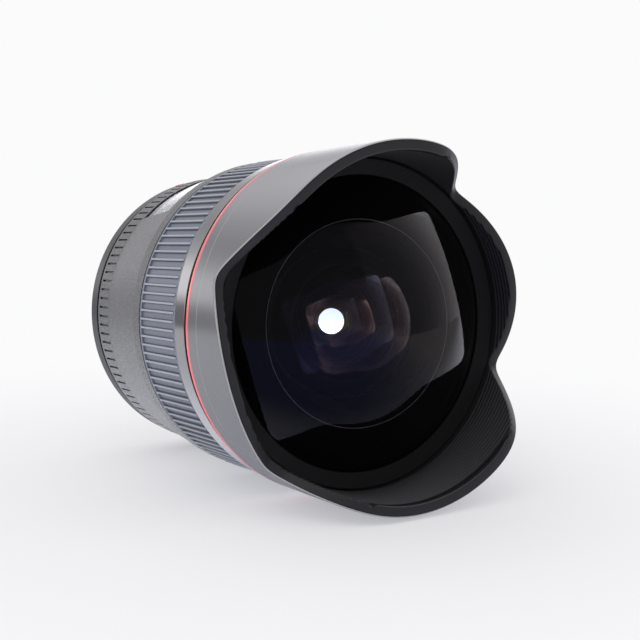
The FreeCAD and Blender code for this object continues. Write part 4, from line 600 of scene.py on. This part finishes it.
# ---------------------------------------------------------------------------------------------
# Focus grip: a moulded sleeve of dull rubber, stretched over the metal focus ring, with fine
# raised ribs along the lens between two plain borders.
GRIP_REAR, GRIP_FRONT, GRIP_BORE = 39.8, 58.3, 37.0
GRIP_BORDER, GRIP_FLOOR, BORDER_WIDE = 38.2, 37.75, 0.85
RIB_COUNT, RIB_REAR, RIB_FRONT = 120, 40.7, 57.4
RIB_SIDE, RIB_TOP, RIB_PAINTED_SHADE = 38.12, 38.32, (0.060, 0.066, 0.086)
around, given = group_of("repeat_about_axis", "GeometryNodeTree", {
    "Geometry": ("NodeSocketGeometry", None), "Count": ("NodeSocketInt", 1),
    "First": ("NodeSocketFloat", 0.0), "Step": ("NodeSocketFloat", 0.0),
    "Material": ("NodeSocketMaterial", None),
}, {"Geometry": "NodeSocketGeometry"})
seats = node(around, "GeometryNodePoints", {"Count": given["Count"]})
number = node(around, "GeometryNodeInputIndex")
swing = calc(around, "MULTIPLY_ADD", number.outputs[0], given["Step"], given["First"])
spun = node(around, "ShaderNodeCombineXYZ", {1: calc(around, "MULTIPLY", swing, -1.0)})
copies = node(around, "GeometryNodeInstanceOnPoints", {
    "Points": seats.outputs[0], "Instance": given["Geometry"], "Rotation": spun.outputs[0],
})
real = node(around, "GeometryNodeRealizeInstances", {0: copies.outputs[0]})
painted = node(around, "GeometryNodeSetMaterial", {
    "Geometry": real.outputs[0], "Material": given["Material"],
})
node(around, "NodeGroupOutput", {"Geometry": painted.outputs[0]})


def grown(name, master, tree, values, sharp=32):
    """The plain mesh that a tree makes of a master piece. The master is removed."""
    maker = master.modifiers.new("maker", "NODES")
    maker.node_group = tree
    for item in tree.interface.items_tree:
        if item.in_out == "INPUT" and item.name in values:
            maker[item.identifier] = values[item.name]
    ready = master.evaluated_get(bpy.context.evaluated_depsgraph_get())
    mesh = bpy.data.meshes.new_from_object(ready)
    master.modifiers.remove(maker)
    bpy.data.objects.remove(master)
    mesh.name = name
    clean(mesh, sharp)
    piece = bpy.data.objects.new(name, mesh)
    bpy.context.scene.collection.objects.link(piece)
    return piece


def bar_of(name, section, rear, front, chamfer):
    """A bar along the lens at angle 0: a section of (radius, across) points, chamfered ends."""
    low = min(radius for radius, across in section)
    places, count = [], len(section)
    ends = (rear, chamfer), (rear + chamfer, 0), (front - chamfer, 0), (front, chamfer)
    for ahead, drop in ends:
        for radius, across in section:
            places.append((max(low, radius - drop) * MM, -ahead * MM, across * MM))
    faces = [tuple(range(count)), tuple(range(3 * count, 4 * count))]
    for ring in range(3):
        for index in range(count):
            step = (index + 1) % count
            here, there = ring * count, (ring + 1) * count
            faces.append((here + index, here + step, there + step, there + index))
    return shell(name, places, faces)


# The sleeve and its ribs are one rubber. The sleeve is painted darker, as painted shade in the
# pockets, and the ribs lighter, as painted light on their tops, with painted shade down their
# sides.
grip_rubber = finish(
    "grip_rubber", (0.150, 0.165, 0.212), 0.42, size=0.3, depth=0.006, speck=0.25, IOR=1.6,
)
rib_rubber_painted_light = finish(
    "rib_rubber_painted_light", (0.29, 0.315, 0.375), 0.36, size=0.3, depth=0.006, speck=0.2, IOR=1.8,
)
tree = rib_rubber_painted_light.node_tree
painted_lit_top = eased(tree, from_axis(tree, object_place(tree)), RIB_SIDE * MM, RIB_TOP * MM)
skin = base_colour(rib_rubber_painted_light).links[0].from_socket
tree.links.new(blended(tree, painted_lit_top, RIB_PAINTED_SHADE, skin), base_colour(rib_rubber_painted_light))
border_rear, border_front = GRIP_REAR + BORDER_WIDE, GRIP_FRONT - BORDER_WIDE
grip_sleeve = turned("grip_sleeve", rounded([
    (GRIP_BORE, GRIP_REAR, 0.1), (GRIP_BORDER, GRIP_REAR, 0.2), (GRIP_BORDER, border_rear, 0.12),
    (GRIP_FLOOR, border_rear + 0.1, 0.1), (GRIP_FLOOR, border_front - 0.1, 0.1),
    (GRIP_BORDER, border_front, 0.12), (GRIP_BORDER, GRIP_FRONT, 0.2),
    (GRIP_BORE, GRIP_FRONT, 0.1),
], steps=3))
fit(grip_sleeve, grip_rubber, "focus_ring", "grip_rubber", "focus_grip")
half_rib = [
    (37.65, 0.42), (37.88, 0.36), (38.10, 0.31), (38.24, 0.24), (38.32, 0.15), (38.35, 0.05),
]
rib_section = [(radius, -across) for radius, across in half_rib] + half_rib[::-1]
rib = bar_of("rib", rib_section, RIB_REAR, RIB_FRONT, chamfer=0.12)
grip_ribs = grown("grip_ribs", rib, around, {
    "Count": RIB_COUNT, "First": 0.0, "Step": 2 * math.pi / RIB_COUNT, "Material": rib_rubber_painted_light,
})
fit(grip_ribs, rib_rubber_painted_light, "focus_ring", "grip_rubber")

# ---------------------------------------------------------------------------------------------
# Lens groups. Each element is ground and polished glass, coated against reflections, and held
# in its cell by a thread ring. The rear four slide with the focus cell.


def glass(name, ior, tint):
    material = bpy.data.materials.new(name)
    material.use_nodes = True
    shader = material.node_tree.nodes["Principled BSDF"]
    shader.inputs["Base Color"].default_value = (1, 1, 1, 1)
    shader.inputs["Roughness"].default_value = 0.0
    shader.inputs["IOR"].default_value = ior
    shader.inputs["Transmission Weight"].default_value = 1.0
    shader.inputs["Specular Tint"].default_value = (*tint, 1)
    return material


def bowl(centre, curve, edge, steps=40):
    """Points of a spherical face from the axis to its edge. A curve below 0 opens ahead."""
    reach = math.asin(edge / abs(curve))
    points = []
    for step in range(steps + 1):
        angle = reach * step / steps
        points.append((
            abs(curve) * math.sin(angle),
            centre - curve * (1 - math.cos(angle)),
        ))
    return points


edge_black = finish(
    "edge_black", (0.012, 0.011, 0.013), 0.7, size=0.2, depth=0.002, Specular_IOR_Level=0.1,
)
edge_line = finish("edge_line", (0.34, 0.33, 0.35), 0.5, size=0.2, depth=0.002)
FACES_BACK, FACES_ASIDE = 0.9, 0.9995


def element(name, edge, front, rear, coats, body, stands_for, flat=None, bevel=0.0):
    """A lens between two faces (centre, curve). flat is (radius, seat) of a flat rear rim, whose
    inner bevel is left bare. The ground edge and the rest of the rim are painted black."""
    ahead, behind = bowl(*front, edge), bowl(*rear, flat[0] if flat else edge)[::-1]
    middle = [(edge, flat[1]), (flat[0] + bevel, flat[1])] if flat else []
    piece = turned(name, ahead + middle + behind, closed=False, steps=192)
    fit(piece, coats[0], body, "optical_glass", stands_for)
    piece.data.materials.append(coats[-1])
    piece.data.materials.append(edge_black)
    piece.data.materials.append(edge_line)
    limit = (flat[0] if flat else edge) * MM
    for face in piece.data.polygons:
        off_axis = math.hypot(face.center.x, face.center.z)
        sideways = math.hypot(face.normal.x, face.normal.z)
        on_rim = flat and off_axis > limit and face.normal.y > FACES_BACK
        if on_rim or sideways > FACES_ASIDE:
            face.material_index = 3 if bevel and off_axis < limit + bevel * MM else 2
        elif face.normal.y > 0:
            face.material_index = 1
    return piece


dome_coat = glass("glass_dome_coat", 1.5, (1.0, 0.97, 1.0))
dust = dome_coat.node_tree.nodes["Principled BSDF"].inputs
dust["Sheen Weight"].default_value = 0.004
dust["Sheen Roughness"].default_value = 1.0
inner_coat = glass("glass_inner_coat", 1.5, (0.85, 0.52, 0.54))
blue_coat = glass("glass_blue_coat", 1.5, (0.36, 0.36, 0.72))
pink_coat = glass("glass_pink_coat", 1.6, (1.0, 0.50, 0.44))
grey_coat = glass("glass_grey_coat", 1.6, (0.52, 0.54, 0.72))
green_coat = glass("glass_green_coat", 1.6, (0.40, 0.62, 0.36))
amber_coat = glass("glass_amber_coat", 1.65, (0.90, 0.76, 0.12))
element("lens_front", 34.0, (87.0, 51.408), (84.0, 22.0), (dome_coat, inner_coat), "barrel",
        "front_element", (20.98, 68.6), 0.12)
element("lens_second", 20.5, (74.0, 34.99), (71.5, 15.99), (blue_coat, pink_coat), "barrel",
        "second_element", (14.48, 62.3))
element("lens_third", 15.5, (60.5, 59.98), (59.0, 18.0), (grey_coat, green_coat), "barrel",
        "third_element", (13.5, 52.9))
element("lens_front_pair", 11.5, (52.0, 22.0), (45.02, -30.0), (amber_coat,), "barrel",
        "front_pair")
element("lens_cell_pair_front", 9.6, (31.2, 26.0), (26.4, -34.0), (amber_coat,), "focus_cell",
        "cell_pair_front")
element("lens_cell_single", 9.6, (25.6, 34.0), (22.6, -60.0), (pink_coat,), "focus_cell",
        "cell_single")
element("lens_cell_pair_rear", 9.6, (21.8, 34.0), (17.6, -34.0), (amber_coat,), "focus_cell",
        "cell_pair_rear")
element("lens_cell_last", 11.2, (15.8, 60.0), (12.4, -60.0), (blue_coat,), "focus_cell",
        "cell_last")

# ---------------------------------------------------------------------------------------------
# Ring ahead of the focus ring: turned aluminium with a fine satin paint. It covers the joint
# between the fixed core and the hood, and its front edge meets the red ring.
COLLAR_REAR, COLLAR_FRONT, COLLAR_BORE = 59.2, 64.6, 37.25
SHEEN_LOW, SHEEN_HIGH, SHEEN_LOW_AT, SHEEN_HIGH_AT = (
    (0.95, 0.94, 0.92), (0.29, 0.282, 0.275), -22.0, 6.0,
)
ring_satin = finish(
    "ring_satin", (0.62, 0.62, 0.61), 0.13, size=0.3, depth=0.001, mottle=0.02, Metallic=1.0,
)
# The metal's colour runs from pale low down to dark on top: a painted reflection of the white
# table below and the darker room above.
tree = ring_satin.node_tree
along = parts_of(tree, object_place(tree))
painted_light_upwards = eased(tree, along["Z"], SHEEN_LOW_AT * MM, SHEEN_HIGH_AT * MM)
tree.links.new(blended(tree, painted_light_upwards, SHEEN_LOW, SHEEN_HIGH), base_colour(ring_satin))
name_ring = turned("front_collar", rounded([
    (COLLAR_BORE, COLLAR_REAR, 0.1), (38.75, COLLAR_REAR, 0.2), (39.15, COLLAR_FRONT, 0.15),
    (37.4, COLLAR_FRONT, 0.1), (COLLAR_BORE, 62.5, 0),
]))
fit(name_ring, ring_satin, "barrel", "satin_black", "name_ring")

# ---------------------------------------------------------------------------------------------
# Thin red ring: turned aluminium, anodised red and sprung into its seat before the hood. The
# groove behind its raised band is painted a darker red, as painted shade.
RED_SEAT, RED_RADIUS, GROOVE_RADIUS = 37.4, 39.45, 38.75
RED_REAR, RED_FRONT, GROOVE_FRONT = 65.95, 67.0, 66.0
red_coat = finish(
    "red_coat", (0.86, 0.14, 0.15), 0.16, size=0.2, depth=0.002, mottle=0.04, IOR=2.0,
)
red_painted_shade = finish("red_groove", (0.12, 0.006, 0.009), 0.35, size=0.2, depth=0.002, mottle=0.04)
accent_groove = turned("accent_groove", rounded([
    (RED_SEAT, COLLAR_FRONT, 0.05), (GROOVE_RADIUS, COLLAR_FRONT, 0.05),
    (GROOVE_RADIUS, GROOVE_FRONT, 0.05), (RED_SEAT, GROOVE_FRONT, 0.05),
]))
fit(accent_groove, red_painted_shade, "barrel", "red_paint", "accent_ring")
accent_band = turned("accent_band", rounded([
    (RED_SEAT, RED_REAR, 0.05), (RED_RADIUS, RED_REAR, 0.2), (RED_RADIUS, RED_FRONT, 0.2),
    (RED_SEAT, RED_FRONT, 0.05),
]))
fit(accent_band, red_coat, "barrel", "red_paint")

# ---------------------------------------------------------------------------------------------
# Petal hood: one aluminium shell, screwed to the core. The picture's rectangle cuts its rim to
# two long and two short petals. The outside is satin, the rim's edge is painted pale as a painted
# highlight, the lip within it is black but painted a little paler as painted light, and the inside
# is dull and finely grooved.
HOOD_REAR, HOOD_FRONT = 67.0, 94.0
HOOD_REAR_RADIUS, HOOD_FRONT_RADIUS, HOOD_WALL = 39.45, 39.98, 2.5
GROOVE_FIRST, GROOVE_PITCH, GROOVE_COUNT = 77.5, 1.02, 14
GROOVE_LAST = GROOVE_FIRST + GROOVE_PITCH * GROOVE_COUNT
STEP_REAR, STEP_FRONT, STEP_RAMP = 91.9, 92.75, 0.1
petals, given = group_of("petal_hood", "GeometryNodeTree", {
    "Geometry": ("NodeSocketGeometry", None), "Rear": ("NodeSocketFloat", HOOD_REAR * MM),
    "Front": ("NodeSocketFloat", HOOD_FRONT * MM),
    "Rear Radius": ("NodeSocketFloat", HOOD_REAR_RADIUS * MM),
    "Front Radius": ("NodeSocketFloat", HOOD_FRONT_RADIUS * MM),
    "Wall": ("NodeSocketFloat", HOOD_WALL * MM), "Cut": ("NodeSocketFloat", 0.0415),
    "Long Petal": ("NodeSocketFloat", 0.06204), "Short Petal": ("NodeSocketFloat", 0.04136),
    "Notch Round": ("NodeSocketFloat", 0.0068), "Shoulder Round": ("NodeSocketFloat", 0.0094),
    "Line Front": ("NodeSocketFloat", 0.0714),
    "Groove First": ("NodeSocketFloat", GROOVE_FIRST * MM),
    "Groove Last": ("NodeSocketFloat", GROOVE_LAST * MM),
    "Groove Pitch": ("NodeSocketFloat", GROOVE_PITCH * MM),
    "Groove Depth": ("NodeSocketFloat", 0.00035),
    "Step Rear": ("NodeSocketFloat", STEP_REAR * MM),
    "Step Front": ("NodeSocketFloat", STEP_FRONT * MM),
    "Step Ramp": ("NodeSocketFloat", STEP_RAMP * MM), "Step Depth": ("NodeSocketFloat", 0.0005),
    "Outside": ("NodeSocketMaterial", None), "Edge": ("NodeSocketMaterial", None),
    "Inside": ("NodeSocketMaterial", None), "Lip": ("NodeSocketMaterial", None),
}, {"Geometry": "NodeSocketGeometry"})


def mark(name):
    made = node(petals, "GeometryNodeInputNamedAttribute", {"Name": name}, data_type="FLOAT")
    return made.outputs[0]


turn = mark("turn")
tall = calc(petals, "ABSOLUTE", calc(petals, "SINE", turn))
wide = calc(petals, "ABSOLUTE", calc(petals, "COSINE", turn))
long_petal = calc(petals, "MULTIPLY_ADD", tall, given["Long Petal"], given["Cut"])
short_petal = calc(petals, "MULTIPLY_ADD", wide, given["Short Petal"], given["Cut"])
either = calc(petals, "SMOOTH_MAX", long_petal, short_petal, given["Notch Round"])
rim = calc(petals, "SMOOTH_MIN", either, given["Front"], given["Shoulder Round"])
edge = calc(petals, "SUBTRACT", rim, mark("inset"))
climb = calc(petals, "SUBTRACT", edge, given["Line Front"])
shared = calc(petals, "MULTIPLY_ADD", climb, mark("share"), given["Line Front"])
ahead = calc(petals, "MINIMUM", mark("ahead"), shared)
taper = calc(
    petals, "DIVIDE", calc(petals, "SUBTRACT", given["Front Radius"], given["Rear Radius"]),
    calc(petals, "SUBTRACT", given["Front"], given["Rear"]),
)
outer = calc(
    petals, "MULTIPLY_ADD", calc(petals, "SUBTRACT", ahead, given["Rear"]), taper,
    given["Rear Radius"],
)
half_pitch = calc(petals, "MULTIPLY", given["Groove Pitch"], 0.5)
wave = calc(petals, "PINGPONG", calc(petals, "SUBTRACT", ahead, given["Groove First"]), half_pitch)
within = calc(
    petals, "MULTIPLY", calc(petals, "GREATER_THAN", ahead, given["Groove First"]),
    calc(petals, "LESS_THAN", ahead, given["Groove Last"]),
)
depth = calc(petals, "MULTIPLY", calc(petals, "DIVIDE", wave, half_pitch), within)
grooves = calc(petals, "MULTIPLY", depth, given["Groove Depth"])


def ramp(value):
    made = node(petals, "ShaderNodeClamp", {
        "Value": calc(petals, "DIVIDE", value, given["Step Ramp"]),
    })
    return made.outputs[0]


rising = ramp(calc(petals, "SUBTRACT", ahead, given["Step Rear"]))
falling = ramp(calc(petals, "SUBTRACT", given["Step Front"], ahead))
step = calc(petals, "MULTIPLY", calc(petals, "MULTIPLY", rising, falling), given["Step Depth"])
inner = calc(petals, "ADD", calc(petals, "SUBTRACT", outer, given["Wall"]), grooves)
inner = calc(petals, "ADD", calc(petals, "ADD", inner, step), mark("trim"))
outside = calc(petals, "SUBTRACT", outer, mark("trim"))
radius = calc(
    petals, "MULTIPLY_ADD", calc(petals, "SUBTRACT", inner, outside), mark("inside"), outside,
)
place = node(petals, "ShaderNodeCombineXYZ", {
    0: calc(petals, "MULTIPLY", radius, calc(petals, "COSINE", turn)),
    1: calc(petals, "MULTIPLY", ahead, -1.0),
    2: calc(petals, "MULTIPLY", radius, calc(petals, "SINE", turn)),
})
moved = node(petals, "GeometryNodeSetPosition", {
    "Geometry": given["Geometry"], "Position": place.outputs[0],
})
real = node(petals, "GeometryNodeRealizeInstances", {0: moved.outputs[0]})
painted = node(petals, "GeometryNodeSetMaterial", {
    "Geometry": real.outputs[0], "Material": given["Outside"],
})
for material, rows_marked in (("Edge", "edge"), ("Inside", "lining"), ("Lip", "lip")):
    painted = node(petals, "GeometryNodeSetMaterial", {
        "Geometry": painted.outputs[0], "Material": given[material],
        "Selection": calc(petals, "GREATER_THAN", mark(rows_marked), 0.5),
    })
node(petals, "NodeGroupOutput", {"Geometry": painted.outputs[0]})

FAR, RIM_ROUND, RIM_STEPS = 200.0, 0.5, 4
LINE_REAR, LINE_FRONT, LINE_DEEP = 70.85, 71.15, 0.03
FOOT_REAR, FOOT_FRONT, FOOT_BORE, FOOT_SEAT = 64.0, 66.6, 30.6, 37.3


def hood_radius(ahead):
    share = (ahead - HOOD_REAR) / (HOOD_FRONT - HOOD_REAR)
    return HOOD_REAR_RADIUS + (HOOD_FRONT_RADIUS - HOOD_REAR_RADIUS) * share


# Each row of the shell is (ahead, share of the climb to the rim, inset from the rim, trim of
# the radius, inside).
rows = [(ahead, 1, 0, hood_radius(ahead) - radius, 0) for radius, ahead in (
    (37.05, FOOT_FRONT), (FOOT_BORE, FOOT_FRONT), (FOOT_BORE, FOOT_REAR), (FOOT_SEAT, FOOT_REAR),
    (FOOT_SEAT, HOOD_REAR), (39.3, HOOD_REAR), (39.42, 67.06), (hood_radius(67.2), 67.2),
    (hood_radius(67.4), 67.4),
)]
rows += [
    (LINE_REAR - 0.1, 1, 0, 0, 0), (LINE_REAR, 1, 0, 0, 0),
    (LINE_REAR + 0.05, 1, 0, LINE_DEEP, 0), (LINE_FRONT - 0.05, 1, 0, LINE_DEEP, 0),
    (LINE_FRONT, 1, 0, 0, 0), (LINE_FRONT + 0.1, 1, 0, 0, 0),
]
rows += [(FAR, share, RIM_ROUND, 0, 0) for share in (0.3, 0.5, 0.7, 0.9, 0.985)]
LINED_FROM = len(rows) + RIM_STEPS - 1
for inside, quarter in ((0, range(RIM_STEPS + 1)), (1, range(RIM_STEPS, -1, -1))):
    for step in quarter:
        swing = math.pi / 2 * step / RIM_STEPS
        rows.append((
            FAR, 1, RIM_ROUND * (1 - math.sin(swing)), RIM_ROUND * (1 - math.cos(swing)), inside,
        ))
# The lining's rows, from the rim to the foot: the step, the grooves and the plain wall.
places = [93.9, 93.3, STEP_FRONT + 0.05, STEP_FRONT, STEP_FRONT - STEP_RAMP]
places += [STEP_REAR + STEP_RAMP, STEP_REAR, STEP_REAR - 0.05]
places += [GROOVE_LAST - GROOVE_PITCH / 2 * step for step in range(2 * GROOVE_COUNT + 1)]
places += [77.0, 76.0, 72.0, 68.0]
rows += [(ahead, 1, RIM_ROUND, 0, 1) for ahead in places]

HOOD_COLUMNS = 720
turns = np.linspace(0, 2 * math.pi, HOOD_COLUMNS, endpoint=False)
table_of_rows = np.array(rows)
marks = {"turn": np.repeat(turns, len(rows))}
for index, (name, scale) in enumerate((
    ("ahead", MM), ("share", 1), ("inset", MM), ("trim", MM), ("inside", 1),
)):
    marks[name] = np.tile(table_of_rows[:, index] * scale, HOOD_COLUMNS)
for name, first, last in (
    ("lining", LINED_FROM, len(rows)), ("edge", LINED_FROM - 2, LINED_FROM),
    ("lip", LINED_FROM + 1, LINED_FROM + RIM_STEPS + 1),
):
    chosen = [float(first <= row <= last) for row in range(len(rows))]
    marks[name] = np.tile(np.array(chosen), HOOD_COLUMNS)
blank = bpy.data.meshes.new("hood_blank")
faces = []
for column in range(HOOD_COLUMNS):
    here, there = column * len(rows), (column + 1) % HOOD_COLUMNS * len(rows)
    for low in range(len(rows)):
        high = (low + 1) % len(rows)
        faces.append((here + low, here + high, there + high, there + low))
blank.from_pydata(np.zeros((len(marks["turn"]), 3)).tolist(), [], faces)
for name, values in marks.items():
    attribute = blank.attributes.new(name, "FLOAT", "POINT")
    attribute.data.foreach_set("value", values.astype(np.float32))
blank = bpy.data.objects.new("hood_blank", blank)
bpy.context.scene.collection.objects.link(blank)

LINE_HALF, LINE_BARE = 0.13, (0.24, 0.24, 0.25)
UNDER_LOW, UNDER_HIGH, UNDER_PAINTED_SHADE = -34.0, -22.0, (0.35, 1.1)
TOP_LOW, TOP_HIGH, TOP_PAINTED_LIGHT = 31.0, 39.0, (1.0, 2.0)
hood_paint = finish(
    "hood_paint", (0.086, 0.086, 0.091), 0.20, size=0.3, depth=0.0015, mottle=0.03, IOR=2.15,
)
# The paint is painted darker underneath, as painted shade, and paler on top, as painted light,
# and the line is scribed through it.
tree = hood_paint.node_tree
along = parts_of(tree, object_place(tree))
line_middle = -(LINE_REAR + LINE_FRONT) / 2 * MM
on_line = calc(tree, "COMPARE", along["Y"], line_middle, LINE_HALF * MM)
painted_shade_below = eased(tree, along["Z"], UNDER_LOW * MM, UNDER_HIGH * MM, *UNDER_PAINTED_SHADE, "LINEAR")
painted_lit_top = eased(tree, along["Z"], TOP_LOW * MM, TOP_HIGH * MM, *TOP_PAINTED_LIGHT, "LINEAR")
skin = base_colour(hood_paint).links[0].from_socket
with_painted_light = scaled(tree, skin, calc(tree, "MULTIPLY", painted_shade_below, painted_lit_top))
tree.links.new(blended(tree, on_line, with_painted_light, LINE_BARE), base_colour(hood_paint))

PAINTED_CREST_LIGHT, LINING_TONE = 0.85, 1.1
LINING_LOW, LINING_HIGH, LINING_LOW_AT = (1.15, 1.15, 1.18), (0.60, 0.60, 0.61), -28.0
hood_lining = finish(
    "hood_lining", (0.0125, 0.0122, 0.0132), 0.42, size=0.25, depth=0.004, mottle=0.05,
    Specular_IOR_Level=0.35,
)
# The lining is painted with light and dark lines along its grooves, painted highlights on their
# crests, and is painted paler low down and darker on top, as painted light and shade.
tree = hood_lining.node_tree
along = parts_of(tree, object_place(tree))
ahead, within = ahead_of(tree, along, GROOVE_FIRST, GROOVE_LAST)
crest = calc(tree, "COSINE", calc(tree, "MULTIPLY", ahead, 2 * math.pi / GROOVE_PITCH))
painted_groove_lines = calc(
    tree, "MULTIPLY_ADD", calc(tree, "MULTIPLY", crest, within), PAINTED_CREST_LIGHT, LINING_TONE,
)
skin = base_colour(hood_lining).links[0].from_socket
painted_light_upwards = eased(tree, along["Z"], LINING_LOW_AT * MM, 0.0)
tone = blended(tree, painted_light_upwards, LINING_LOW, LINING_HIGH)
lined = steer(tree, "MULTIPLY", scaled(tree, skin, painted_groove_lines), tone)
tree.links.new(lined, base_colour(hood_lining))
# The lip is black, painted a little paler than the lining as painted light, and the rim's edge is
# painted pale as a painted highlight.
lip_painted_paler = finish("lip_painted_paler", (0.026, 0.026, 0.028), 0.35, size=0.25, depth=0.003, mottle=0.05)
rim_painted_highlight = finish("rim_edge", (0.34, 0.34, 0.35), 0.22, size=0.2, depth=0.001, IOR=2.0)
hood = grown("petal_hood", blank, petals, {
    "Outside": hood_paint, "Edge": rim_painted_highlight, "Inside": hood_lining, "Lip": lip_painted_paler,
}, sharp=30)
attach(hood, "barrel")
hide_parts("hood")

# ---------------------------------------------------------------------------------------------
# Trim ring round the front glass: turned aluminium, black and dull, with very fine turning
# lines that keep light from glancing off it. It screws down on the glass's edge.
TURNING_LINES, TURNING_TONE = 12500.0, 0.35
TRIM_BORE, TRIM_OUTSIDE, TRIM_SKIRT = 33.3, 36.98, 35.1
trim_black = finish(
    "trim_black", (0.0085, 0.0083, 0.0090), 0.40, size=0.25, depth=0.003, mottle=0.05,
    Specular_IOR_Level=0.25,
)
tree = trim_black.node_tree
out = from_axis(tree, object_place(tree))
turning = calc(tree, "SINE", calc(tree, "MULTIPLY", out, TURNING_LINES))
skin = base_colour(trim_black).links[0].from_socket
lined = scaled(tree, skin, calc(tree, "MULTIPLY_ADD", turning, TURNING_TONE, 1.0))
tree.links.new(lined, base_colour(trim_black))
trim_ring = turned("trim_ring_turned", rounded([
    (TRIM_BORE, 75.3, 0.12), (TRIM_OUTSIDE, 76.35, 0.25), (TRIM_OUTSIDE, 68.4, 0.1),
    (TRIM_SKIRT, 68.4, 0.1), (TRIM_SKIRT, 74.3, 0), (34.0, 74.5, 0), (TRIM_BORE, 74.95, 0.05),
]))
fit(trim_ring, trim_black, "barrel", "inner_black", "trim_ring")
